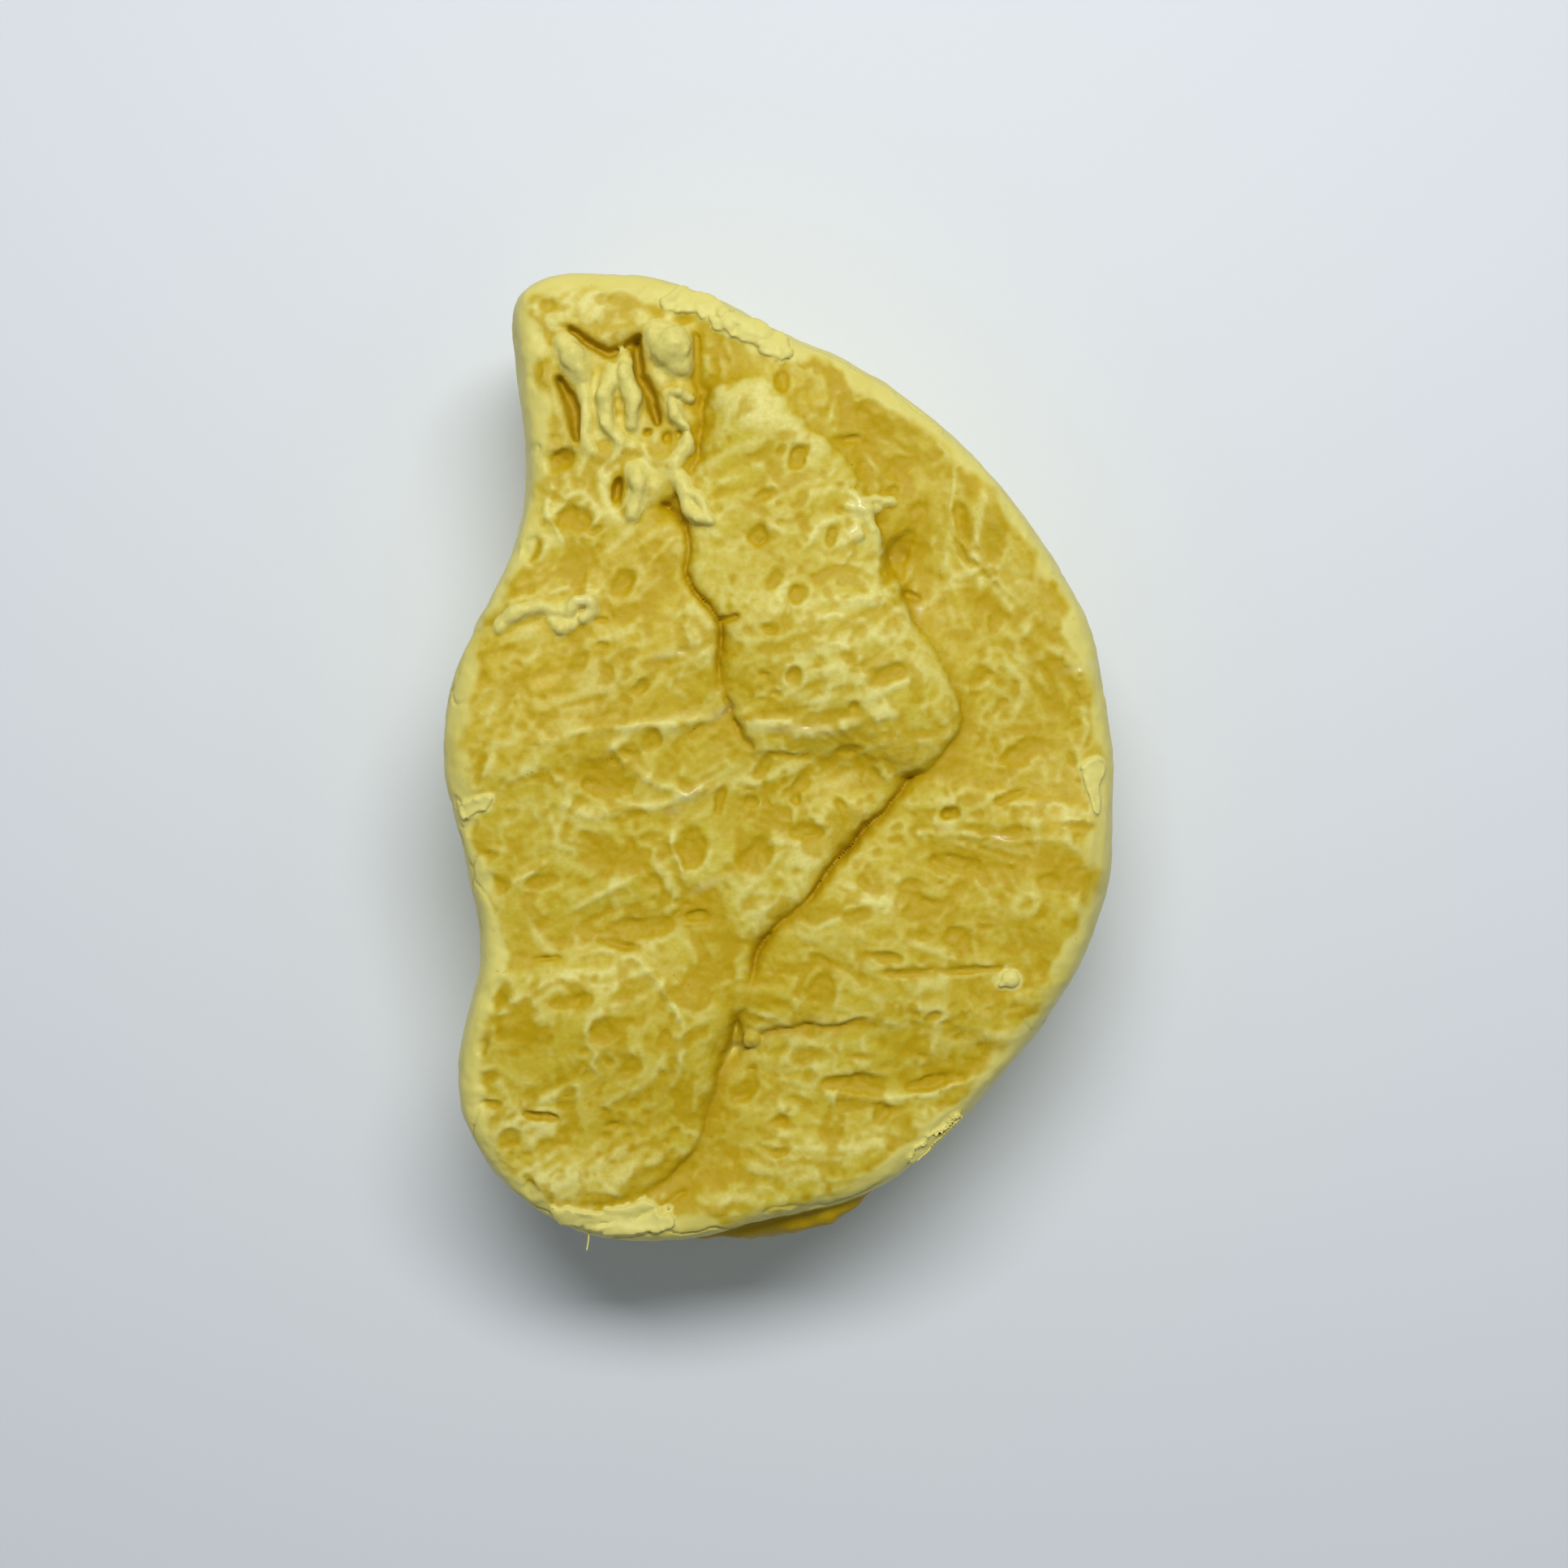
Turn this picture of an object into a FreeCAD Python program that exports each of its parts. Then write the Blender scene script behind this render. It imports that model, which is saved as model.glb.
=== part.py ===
"""A hand-kneaded bar of detailing clay, torn open along its upper face.

The lump is a thick half-moon with a blunt horn at one end. A smooth handled skin wraps its sides
and base like a shallow cup. Inside it one continuous core carries eight folds of clay that meet
along the creases of the torn face. Shreds, flakes and crumbs of the same clay lie on the folds.

Frame: +Z up, X across the lump, Y along it with the horn towards +Y. The origin is the centre of
the bounding box on the surface that the lump rests on. Millimetres throughout.
"""
import FreeCAD
import Part
import os

V = FreeCAD.Vector

# ---- driving dimensions ----
LENGTH = 86.0  # along Y
WIDTH = 59.8  # along X
SKIN = 1.4  # thickness of the handled skin
RIM_Z = 23.8  # where the skin ends, all round the torn face
CORE_TOP_Z = 14.5  # the creases run down to here, and the core is one mass below it
INNER_TOP_Z = 26.6  # above every fold
FLAKE_T = 0.5  # thickness of a peeled flake
FIBRE_R = 0.1
FIBRE_LENGTH = 2.4

# The outline at its widest height, as shares of half the width and half the length, from the
# right-hand side round by the horn and the concave side.
OUTLINE = [
    (1.000, -0.110), (0.990, 0.056), (0.943, 0.223), (0.846, 0.386), (0.702, 0.537),
    (0.518, 0.681), (0.284, 0.793), (0.010, 0.879), (-0.301, 0.977), (-0.475, 0.995),
    (-0.655, 0.993), (-0.766, 0.944), (-0.783, 0.860), (-0.742, 0.619), (-0.766, 0.488),
    (-0.859, 0.340), (-0.950, 0.214), (-0.997, 0.016), (-0.973, -0.112), (-0.893, -0.281),
    (-0.876, -0.405), (-0.930, -0.560), (-0.930, -0.740), (-0.786, -0.891), (-0.548, -0.986),
    (-0.274, -0.993), (-0.007, -0.953), (0.237, -0.910), (0.448, -0.816), (0.619, -0.695),
    (0.766, -0.567), (0.886, -0.428), (0.973, -0.274),
]

# Height of each level of the side wall, and how far it lies inside the widest outline.
SIDE_LEVELS = [(0.0, 3.6), (1.6, 2.0), (5.0, 0.8), (10.5, 0.15), (16.0, 0.0), (20.5, 0.3), (RIM_Z, 1.2)]
DOME_LEVELS = [(25.2, 1.7), (INNER_TOP_Z, 2.6)]  # the inner mass goes on above the rim

# Top of each fold. The centre fold stands proud of its neighbours.
FOLD_TOP_Z = {
    "horn_fold": 24.6,
    "left_fold": 25.0,
    "centre_fold": 25.8,
    "right_fold": 24.3,
    "fan_fold": 24.9,
    "middle_fold": 24.5,
    "lower_left_fold": 24.8,
    "bottom_fold": 24.2,
}

# Where creases meet, and where they leave the lump.
JUNCTIONS = {
    "north": (-5.6, 46.0),
    "groove_fork": (-6.7, 31.0),
    "horn_foot": (-9.2, 22.0),
    "west_upper": (-36.0, 15.5),
    "left_foot": (-3.9, 4.4),
    "west_middle": (-36.0, -5.0),
    "centre_corner": (11.6, -1.7),
    "east": (36.0, -6.0),
    "diagonal_foot": (-1.9, -17.3),
    "lower_fork": (-3.4, -23.6),
    "west_lower": (-36.0, -19.5),
    "deep_hole": (-4.0, -25.9),
    "south_east": (32.0, -28.0),
    "south_west": (-32.0, -46.0),
}

# Each crease runs from one junction through its own points to another.
CREASES = {
    "horn_groove": ["north", (-7.2, 38.4), (-6.7, 35.0), "groove_fork"],
    "horn_side": ["groove_fork", (-6.7, 28.4), (-7.6, 24.8), "horn_foot"],
    "horn_base": ["horn_foot", (-13.0, 20.6), (-17.5, 18.2), (-22.4, 17.2), "west_upper"],
    "left_groove": ["horn_foot", (-7.9, 18.6), (-7.6, 15.4), (-5.1, 12.0), (-4.7, 8.1), "left_foot"],
    "centre_top": ["groove_fork", (-4.1, 32.7), (-0.9, 32.4), (2.3, 29.5), (5.9, 26.0), (8.2, 21.9),
                   (9.4, 18.3), (10.6, 14.9), (12.6, 10.7), (14.6, 7.8), (15.9, 4.8), (15.5, 1.6),
                   "centre_corner"],
    "centre_edge": ["left_foot", (-2.4, 1.2), (1.5, 0.2), (6.0, 0.7), "centre_corner"],
    "left_edge": ["left_foot", (-8.4, 1.9), (-12.4, 0.5), (-17.8, -0.6), (-24.0, -2.4), "west_middle"],
    "fan_top": ["centre_corner", (16.0, -2.4), (22.0, -3.0), (27.5, -4.4), "east"],
    "diagonal": ["centre_corner", (9.4, -4.7), (6.8, -7.3), (4.5, -9.9), (2.2, -12.7), (0.1, -14.9),
                 "diagonal_foot"],
    "lower_link": ["diagonal_foot", (-2.6, -20.5), "lower_fork"],
    "hole_link": ["lower_fork", "deep_hole"],
    "lower_left_top": ["lower_fork", (-6.6, -20.5), (-10.5, -18.6), (-14.6, -17.3), (-19.5, -17.6),
                       "west_lower"],
    "fan_foot": ["deep_hole", (-0.5, -23.9), (2.8, -23.3), (8.0, -22.7), (16.0, -23.8), "south_east"],
    "lower_left_side": ["deep_hole", (-5.4, -28.6), (-6.4, -32.2), (-9.2, -36.4), (-12.4, -38.1),
                        (-18.2, -38.9), "south_west"],
}

# The creases round each fold, and the corners that close it outside the lump.
FOLDS = {
    "horn_fold": (["horn_groove", "horn_side", "horn_base"], [(-36.0, 46.0)]),
    "left_fold": (["horn_base", "left_groove", "left_edge"], []),
    "centre_fold": (["centre_top", "centre_edge", "left_groove", "horn_side"], None),
    "right_fold": (["horn_groove", "centre_top", "fan_top"], [(36.0, 46.0)]),
    "fan_fold": (["fan_top", "diagonal", "lower_link", "hole_link", "fan_foot"], []),
    "middle_fold": (["left_edge", "centre_edge", "diagonal", "lower_link", "lower_left_top"], []),
    "lower_left_fold": (["lower_left_top", "hole_link", "lower_left_side"], []),
    "bottom_fold": (["lower_left_side", "fan_foot"], [(32.0, -46.0)]),
}


# ---- the lump ----
def outline_points(inset):
    """The outline's points, each moved inwards along its own normal."""
    base = [(x * WIDTH / 2, y * LENGTH / 2) for x, y in OUTLINE]
    moved = []
    for i, (x, y) in enumerate(base):
        before = base[i - 1]
        after = base[(i + 1) % len(base)]
        along = V(after[0] - before[0], after[1] - before[1], 0).normalize()
        moved.append((x - inset * along.y, y + inset * along.x))
    return moved


def level_wire(z, inset):
    curve = Part.BSplineCurve()
    curve.interpolate(Points=[V(x, y, z) for x, y in outline_points(inset)], PeriodicFlag=True)
    return Part.Wire([curve.toShape()])


def make_body():
    return Part.makeLoft([level_wire(z, inset) for z, inset in SIDE_LEVELS], True, False)


def make_inner():
    """The mass inside the skin. It rises past the rim, to be cut to each fold's height."""
    levels = [(SKIN, SIDE_LEVELS[0][1])] + SIDE_LEVELS[2:] + DOME_LEVELS
    return Part.makeLoft([level_wire(z, inset + SKIN) for z, inset in levels], True, False)


def slab(low_z, high_z):
    """Everything between two heights."""
    return Part.makeBox(2 * WIDTH, 2 * LENGTH, high_z - low_z, V(-WIDTH, -LENGTH, low_z))


# ---- the folds ----
def crease_points(name):
    return [JUNCTIONS[p] if isinstance(p, str) else p for p in CREASES[name]]


def crease_edge(name, z):
    points = [V(x, y, z) for x, y in crease_points(name)]
    if len(points) == 2:
        return Part.makeLine(*points)
    curve = Part.BSplineCurve()
    curve.interpolate(Points=points)
    return curve.toShape()


def open_ends(names):
    """The two junctions that only one of these creases reaches."""
    ends = [p for name in names for p in (CREASES[name][0], CREASES[name][-1])]
    return [p for p in ends if ends.count(p) == 1]


def fold_prism(creases, corners, low_z, high_z):
    edges = [crease_edge(name, low_z) for name in creases]
    if corners is not None:
        first, last = (JUNCTIONS[p] for p in open_ends(creases))
        loop = [first] + corners + [last]
        edges += [Part.makeLine(V(*a, low_z), V(*b, low_z)) for a, b in zip(loop, loop[1:])]
    wire = Part.Wire(Part.__sortEdges__(edges))
    return Part.Face(wire).extrude(V(0, 0, high_z - low_z))


def make_folds(inner):
    folds = {}
    for name, (creases, corners) in FOLDS.items():
        prism = fold_prism(creases, corners, CORE_TOP_Z, FOLD_TOP_Z[name])
        folds[name] = inner.common(prism)
    return folds


# ---- shreds, flakes and crumbs ----
def blob(x, y, z, long_r, wide_r, high_r, turn=0.0):
    """An ellipsoid whose long axis is turned by an angle about +Z."""
    stretch = FreeCAD.Matrix()
    stretch.scale(long_r, wide_r, high_r)
    shape = Part.makeSphere(1.0).transformGeometry(stretch)
    shape.rotate(V(0, 0, 0), V(0, 0, 1), turn)
    shape.translate(V(x, y, z))
    return shape


def strand(points, radii):
    """A tapering strand through points, round in section."""
    sections = []
    for i, point in enumerate(points):
        before = V(*points[max(i - 1, 0)])
        after = V(*points[min(i + 1, len(points) - 1)])
        sections.append(Part.Wire([Part.makeCircle(radii[i], V(*point), after - before)]))
    return Part.makeLoft(sections, True, False)


def flake(points, z, thickness):
    """A thin plate lying at a height. Its smooth closed outline runs anticlockwise."""
    curve = Part.BSplineCurve()
    curve.interpolate(Points=[V(x, y, z) for x, y in points], PeriodicFlag=True)
    return Part.Face(Part.Wire([curve.toShape()])).extrude(V(0, 0, thickness))


def make_trim():
    """Each small piece's separate solids, before they are fitted to what they lie on."""
    top = FOLD_TOP_Z
    horn = top["horn_fold"]
    right = top["right_fold"]
    return {
        "horn_shreds": [
            blob(-9.2, 35.6, horn, 2.3, 2.0, 1.2, 70),
            strand([(-18.8, 35.2, horn), (-18.4, 32.4, horn + 0.5), (-17.4, 29.0, horn)], [1.2, 0.9, 0.5]),
            strand([(-13.9, 34.6, horn), (-13.6, 31.4, horn + 0.6), (-13.8, 27.6, horn)], [0.8, 1.4, 0.7]),
            strand([(-8.4, 31.6, horn), (-8.0, 29.6, horn + 0.7), (-8.6, 27.2, horn)], [0.7, 0.9, 0.6]),
            strand([(-11.6, 26.6, horn), (-11.9, 24.4, horn + 0.4), (-12.6, 22.4, horn)], [0.8, 0.7, 0.5]),
        ],
        "crease_curl": [
            strand([(-8.7, 24.0, horn + 0.2), (-7.4, 23.0, horn + 0.9), (-6.2, 21.4, horn + 1.3)],
                   [0.5, 0.9, 0.6]),
        ],
        "left_curl": [
            strand([(-24.0, 12.0, 25.1), (-21.0, 13.2, 25.3), (-18.2, 12.2, 25.2)], [0.6, 0.8, 0.6]),
            blob(-17.0, 12.7, 25.0, 1.5, 1.1, 0.8, 20),
        ],
        "centre_shreds": [
            strand([(6.6, 23.4, 25.8), (7.9, 22.8, 26.1), (9.4, 23.0, 25.6)], [0.4, 0.5, 0.3]),
            strand([(7.3, 21.4, 25.8), (8.4, 20.2, 26.1), (8.8, 18.6, 25.8)], [0.5, 0.5, 0.4]),
        ],
        "upper_skin_flap": [
            flake([(-10.0, 39.3), (-7.0, 38.6), (-4.0, 37.2), (-1.2, 35.4), (0.7, 34.4),
                   (0.9, 35.4), (-1.4, 37.0), (-5.0, 39.2), (-9.0, 40.6)], right, FLAKE_T),
        ],
        "lower_skin_flap": [
            flake([(-16.4, -40.8), (-12.6, -41.1), (-9.6, -40.3), (-10.2, -39.0), (-14.4, -39.4),
                   (-19.2, -39.6)], top["bottom_fold"], FLAKE_T),
        ],
        "right_edge_chip": [
            flake([(27.2, -3.4), (27.8, -5.0), (28.1, -2.6), (28.0, -0.2), (26.9, -0.4)], right, FLAKE_T),
        ],
        "left_edge_flakes": [
            flake([(-24.4, -2.6), (-23.0, -0.9), (-24.0, 0.2), (-25.6, -0.8)], top["left_fold"], FLAKE_T),
            flake([(-26.2, -4.9), (-24.9, -3.4), (-26.0, -3.6), (-27.4, -4.3)], top["middle_fold"], FLAKE_T),
            flake([(-26.6, -30.0), (-25.8, -29.2), (-26.0, -27.9), (-26.9, -28.4)],
                  top["lower_left_fold"], FLAKE_T),
        ],
        "ragged_flake": [
            flake([(13.0, -34.6), (14.6, -33.2), (16.2, -31.4), (14.2, -32.4), (12.8, -33.6),
                   (11.6, -35.0)], top["bottom_fold"], FLAKE_T),
        ],
        "trapped_crumb": [blob(-2.4, -24.4, 24.3, 0.9, 0.8, 0.8)],
        "loose_crumb": [blob(20.0, -19.2, top["fan_fold"] + 0.35, 0.9, 0.75, 0.5, 25)],
    }


def make_lip(body):
    """The bulge of inner clay that shows under the skin's torn edge at the lower side."""
    bulge = strand([(-10.5, -41.2, 17.5), (-5.0, -40.7, 17.0), (-0.5, -39.9, 16.5), (4.0, -38.6, 17.5),
                    (8.5, -36.6, 18.5)], [0.9, 2.2, 2.7, 2.4, 0.9])
    return bulge.cut(body)


def make_fibre():
    """A short stray fibre that sticks out of the lower edge."""
    root = V(-16.3, -40.6, 22.4)
    return Part.makeCylinder(FIBRE_R, FIBRE_LENGTH, root, V(-0.12, -1.0, 0.3))


def fit(solids, supports):
    """The solids with every support's material cut away, so that they only touch."""
    fitted = []
    for solid in solids:
        for support in supports:
            if solid.BoundBox.intersect(support.BoundBox):
                solid = solid.cut(support)
        fitted += solid.Solids
    return fitted


def save(name, solids):
    shape = Part.makeCompound(solids)
    assert all(s.isValid() and s.Volume > 0 for s in shape.Solids), name
    shape.exportStep("parts/" + name + ".step")
    box = shape.BoundBox
    print(f"{name:18s} solids {len(shape.Solids)}  volume {shape.Volume:9.1f}"
          f"  z {box.ZMin:6.2f} to {box.ZMax:6.2f}")
    return shape.Volume


def main():
    os.makedirs("parts", exist_ok=True)
    body = make_body()
    inner = make_inner()
    skin = body.cut(inner)
    core = inner.common(slab(SKIN, CORE_TOP_Z))
    folds = make_folds(inner)
    pieces = {"outer_skin": [skin], "core": [core]}
    pieces.update({name: fold.Solids for name, fold in folds.items()})
    supports = [skin, core] + list(folds.values())
    lip = make_lip(body)
    for name, solids in make_trim().items():
        pieces[name] = fit(solids, supports)
    pieces["squeezed_lip"] = lip.Solids
    pieces["stray_fibre"] = fit([make_fibre()], [body])
    total = sum(save(name, solids) for name, solids in pieces.items())
    print(f"total volume {total / 1000:.1f} cm3")


main()
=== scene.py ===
"""The looks of a torn lump of detailing clay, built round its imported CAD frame.

The whole lump is sculpted once, as a height map of the torn face and a field of distances, and
then divided among the CAD nodes, so that neighbouring pieces share one continuous surface.
Sculpting is in millimetres. Blender objects are in metres, in the CAD frame.
"""

import itertools
import math

import bpy
import numpy as np
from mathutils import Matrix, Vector


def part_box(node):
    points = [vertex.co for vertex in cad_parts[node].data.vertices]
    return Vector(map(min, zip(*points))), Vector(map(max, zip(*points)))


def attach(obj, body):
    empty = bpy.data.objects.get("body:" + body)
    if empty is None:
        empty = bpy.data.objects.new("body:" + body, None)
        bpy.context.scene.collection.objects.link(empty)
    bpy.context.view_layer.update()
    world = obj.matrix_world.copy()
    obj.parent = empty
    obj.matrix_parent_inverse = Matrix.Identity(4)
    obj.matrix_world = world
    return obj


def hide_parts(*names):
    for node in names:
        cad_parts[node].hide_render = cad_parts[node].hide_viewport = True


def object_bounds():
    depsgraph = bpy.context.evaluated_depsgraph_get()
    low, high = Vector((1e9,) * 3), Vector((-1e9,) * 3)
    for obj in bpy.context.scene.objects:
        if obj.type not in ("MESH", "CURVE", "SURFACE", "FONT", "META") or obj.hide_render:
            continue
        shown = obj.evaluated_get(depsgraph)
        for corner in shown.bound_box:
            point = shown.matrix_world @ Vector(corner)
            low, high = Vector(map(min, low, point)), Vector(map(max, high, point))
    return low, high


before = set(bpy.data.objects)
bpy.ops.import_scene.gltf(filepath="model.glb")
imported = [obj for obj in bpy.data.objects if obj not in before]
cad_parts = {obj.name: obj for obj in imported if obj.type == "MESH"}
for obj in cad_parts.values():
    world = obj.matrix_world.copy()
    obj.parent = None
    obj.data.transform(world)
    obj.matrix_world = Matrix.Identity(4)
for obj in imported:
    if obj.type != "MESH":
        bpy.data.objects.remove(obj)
CAD_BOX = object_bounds()

MM = 0.001
STEP = 0.2  # between the sculpture's samples
LOW_STEP = 0.6  # between its levels below the torn face
FACE_LOW_Z = 17.0  # the torn face's deepest crease stays above this
MARGIN = 1.2  # of the sculpture round the CAD's box
SKIN = 1.4  # thickness of the handled skin

FOLDS = ["horn_fold", "left_fold", "centre_fold", "right_fold", "fan_fold", "middle_fold",
         "lower_left_fold", "bottom_fold"]
PLATES = ["upper_skin_flap", "lower_skin_flap", "right_edge_chip", "left_edge_flakes", "ragged_flake"]
SHREDS = ["horn_shreds", "crease_curl", "left_curl", "centre_shreds"]
LUMPS = ["trapped_crumb", "loose_crumb", "squeezed_lip"]
LABELS = ["outside", "outer_skin", "core"] + FOLDS + PLATES + SHREDS + LUMPS
dict.fromkeys(PLATES, "handled_skin")


def box_mm(node):
    """A CAD node's low and high corners."""
    low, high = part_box(node)
    return np.array(low) / MM, np.array(high) / MM


TOPS = {name: box_mm(name)[1][2] for name in FOLDS}
CORE_TOP_Z = box_mm("core")[1][2]
RIM_Z = box_mm("outer_skin")[1][2]


def gather(items, key, width=1, kind=np.float32):
    """One property of every item, with as many numbers in each row as it has."""
    values = np.empty(len(items) * width, kind)
    items.foreach_get(key, values)
    return values.reshape(-1, width) if width > 1 else values


# ---- noise ----
PRIMES = (73856093, 19349663, 83492791)


def scatter(key):
    """A fixed random number from -1 to 1 for each whole number."""
    key = (key ^ (key >> 15)) * 0x2C1B3C6D & 0xFFFFFFFF
    key = (key ^ (key >> 12)) * 0x297A2D39 & 0xFFFFFFFF
    return (key ^ (key >> 15)) / 0x7FFFFFFF - 1.0


def noise(seed, size, *axes):
    """Smooth noise of about -1 to 1, whose features are about size across."""
    cells, fades = [], []
    for axis in axes:
        scaled = np.asarray(axis, float) / size + 1000.0
        cell = np.floor(scaled)
        part = scaled - cell
        cells.append(cell.astype(np.int64))
        fades.append(part ** 3 * (part * (part * 6 - 15) + 10))
    total = 0.0
    for corner in itertools.product((0, 1), repeat=len(axes)):
        key, weight = seed * 7919, 1.0
        for cell, fade, end, prime in zip(cells, fades, corner, PRIMES):
            key = key ^ ((cell + end) * prime)
            weight = weight * (fade if end else 1 - fade)
        total = total + weight * scatter(key & 0xFFFFFFFF)
    return total


def layered(seed, size, octaves, *axes):
    """Noise with octaves of finer noise on it."""
    total = 0.0
    for octave in range(octaves):
        total = total + noise(seed + octave, size / 2 ** octave, *axes) / 2 ** octave
    return total


def cells_2d(seed, size, x, y):
    """Distance to the nearest of scattered points, in units of size, and a number for that point."""
    u, v = x / size + 500.0, y / size + 500.0
    iu, iv = np.floor(u).astype(np.int64), np.floor(v).astype(np.int64)
    nearest, name = np.full(u.shape, 9.0), np.zeros(u.shape)
    for du, dv in itertools.product((-1, 0, 1), repeat=2):
        key = ((iu + du) * PRIMES[0]) ^ ((iv + dv) * PRIMES[1]) ^ (seed * 7919)
        pu = iu + du + 0.5 + 0.45 * scatter(key & 0xFFFFFFFF)
        pv = iv + dv + 0.5 + 0.45 * scatter((key + 977) & 0xFFFFFFFF)
        away = np.hypot(pu - u, pv - v)
        nearer = away < nearest
        name = np.where(nearer, scatter((key + 3331) & 0xFFFFFFFF), name)
        nearest = np.where(nearer, away, nearest)
    return nearest, name


def ramp(value, low, high):
    """0 below low, 1 above high, smooth between. High may be below low."""
    part = np.clip((value - low) / (high - low), 0, 1)
    return part * part * (3 - 2 * part)


# ---- the plan: what the CAD sections say ----
class Map:
    """A field over the plan, on a square grid."""

    def __init__(self, step):
        low, high = np.array(CAD_BOX[0]) / MM - MARGIN, np.array(CAD_BOX[1]) / MM + MARGIN
        self.step = step
        self.xs = np.arange(low[0], high[0] + step, step)
        self.ys = np.arange(low[1], high[1] + step, step)
        self.x, self.y = np.meshgrid(self.xs, self.ys, indexing="ij")

    def read(self, field, x, y):
        """The field's value at points that needn't lie on the grid."""
        u = np.clip((x - self.xs[0]) / self.step, 0, len(self.xs) - 1.001)
        v = np.clip((y - self.ys[0]) / self.step, 0, len(self.ys) - 1.001)
        i, j = u.astype(int), v.astype(int)
        u, v = u - i, v - j
        return ((field[i, j] * (1 - u) + field[i + 1, j] * u) * (1 - v)
                + (field[i, j + 1] * (1 - u) + field[i + 1, j + 1] * u) * v)

    def blur(self, field, radius):
        """The field with detail finer than radius taken out."""
        fx = np.fft.fftfreq(field.shape[0], self.step)[:, None]
        fy = np.fft.rfftfreq(field.shape[1], self.step)[None, :]
        keep = np.exp(-2 * (math.pi * radius) ** 2 * (fx ** 2 + fy ** 2))
        return np.fft.irfft2(np.fft.rfft2(field) * keep, s=field.shape)


def level_loops(node, height, spacing=0.4):
    """The closed loops where a level plane cuts a CAD node, the longest first."""
    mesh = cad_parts[node].data
    mesh.calc_loop_triangles()
    corners = gather(mesh.loop_triangles, "vertices", 3, np.int32)
    tri = gather(mesh.vertices, "co", 3)[corners].astype(float) / MM
    above = tri[:, :, 2] > height
    tri = tri[above.any(1) & ~above.all(1)]
    ends, crossed = [], []
    for a, b in ((0, 1), (1, 2), (2, 0)):
        rise = tri[:, b, 2] - tri[:, a, 2]
        share = (height - tri[:, a, 2]) / np.where(rise == 0, 1, rise)
        crossed.append((tri[:, a, 2] > height) != (tri[:, b, 2] > height))
        ends.append(tri[:, a, :2] + share[:, None] * (tri[:, b, :2] - tri[:, a, :2]))
    crossed, ends = np.stack(crossed, 1), np.stack(ends, 1)
    pairs = ends[crossed].reshape(-1, 2, 2)
    at = {}
    for n, pair in enumerate(pairs):
        for end in pair:
            at.setdefault(tuple(np.round(end, 2)), []).append(n)
    left, loops = set(range(len(pairs))), []
    while left:
        n = left.pop()
        loop = [pairs[n][0], pairs[n][1]]
        while True:
            onward = [m for m in at[tuple(np.round(loop[-1], 2))] if m in left]
            if not onward:
                break
            left.remove(onward[0])
            start, stop = pairs[onward[0]]
            near = np.abs(start - loop[-1]).sum() <= np.abs(stop - loop[-1]).sum()
            loop.append(stop if near else start)
        loops.append(np.array(loop))
    loops = [evenly(loop, spacing) for loop in loops]
    return sorted(loops, key=len, reverse=True)


def evenly(loop, spacing):
    """A closed loop with its points about spacing apart."""
    closed = np.vstack([loop, loop[:1]])
    along = np.concatenate([[0], np.cumsum(np.hypot(*np.diff(closed, axis=0).T))])
    count = max(int(along[-1] / spacing), 6)
    at = np.linspace(0, along[-1], count, endpoint=False)
    return np.stack([np.interp(at, along, closed[:, 0]), np.interp(at, along, closed[:, 1])], 1)


def depth_inside(loop, x, y):
    """Distance from a closed loop at points of the plan, positive inside it."""
    nearest, inside = np.full(x.shape, 1e9), np.zeros(x.shape, bool)
    for (x0, y0), (x1, y1) in zip(loop, np.roll(loop, -1, 0)):
        dx, dy = x1 - x0, y1 - y0
        t = np.clip(((x - x0) * dx + (y - y0) * dy) / (dx * dx + dy * dy + 1e-12), 0, 1)
        nearest = np.minimum(nearest, (x - x0 - t * dx) ** 2 + (y - y0 - t * dy) ** 2)
        if y0 != y1:
            inside ^= ((y0 > y) != (y1 > y)) & (x < x0 + (y - y0) * dx / dy)
    return np.where(inside, 1, -1) * np.sqrt(nearest)


def line_distance(points, x, y):
    """Distance from an open line at points of the plan, and the share of the line that lies
    before the nearest place on it."""
    nearest, along = np.full(x.shape, 1e9), np.zeros(x.shape)
    points = np.array(points, float)
    for n, ((x0, y0), (x1, y1)) in enumerate(zip(points, points[1:])):
        dx, dy = x1 - x0, y1 - y0
        t = np.clip(((x - x0) * dx + (y - y0) * dy) / (dx * dx + dy * dy + 1e-12), 0, 1)
        away = (x - x0 - t * dx) ** 2 + (y - y0 - t * dy) ** 2
        along = np.where(away < nearest, (n + t) / (len(points) - 1), along)
        nearest = np.minimum(nearest, away)
    return np.sqrt(nearest), along


coarse = Map(0.5)
fine = Map(STEP)
WIDEST_Z = 16.0
FOLD_SECTION_Z = 19.0

outline = level_loops("outer_skin", WIDEST_Z)[0]
outline_coarse = depth_inside(outline, coarse.x, coarse.y)
folds_coarse = {n: depth_inside(level_loops(n, FOLD_SECTION_Z)[0], coarse.x, coarse.y) for n in FOLDS}

# How far the side wall stands inside the widest outline, at each height.
WALL_Z = np.array([0.15, 0.8, 1.6, 3.2, 5.0, 8.0, 12.0, WIDEST_Z, 19.0, 21.5, 23.4])
WALL_IN = np.array([outline[:, 0].max() - level_loops("outer_skin", z)[0][:, 0].max() for z in WALL_Z])
DOME_SLOPE = 0.5  # above the rim the wall leans in by this much for each millimetre


def wall_inset(z):
    """How far the side wall stands inside the widest outline at height z."""
    return np.interp(z, WALL_Z, WALL_IN) + np.maximum(z - WALL_Z[-1], 0) * DOME_SLOPE


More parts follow.
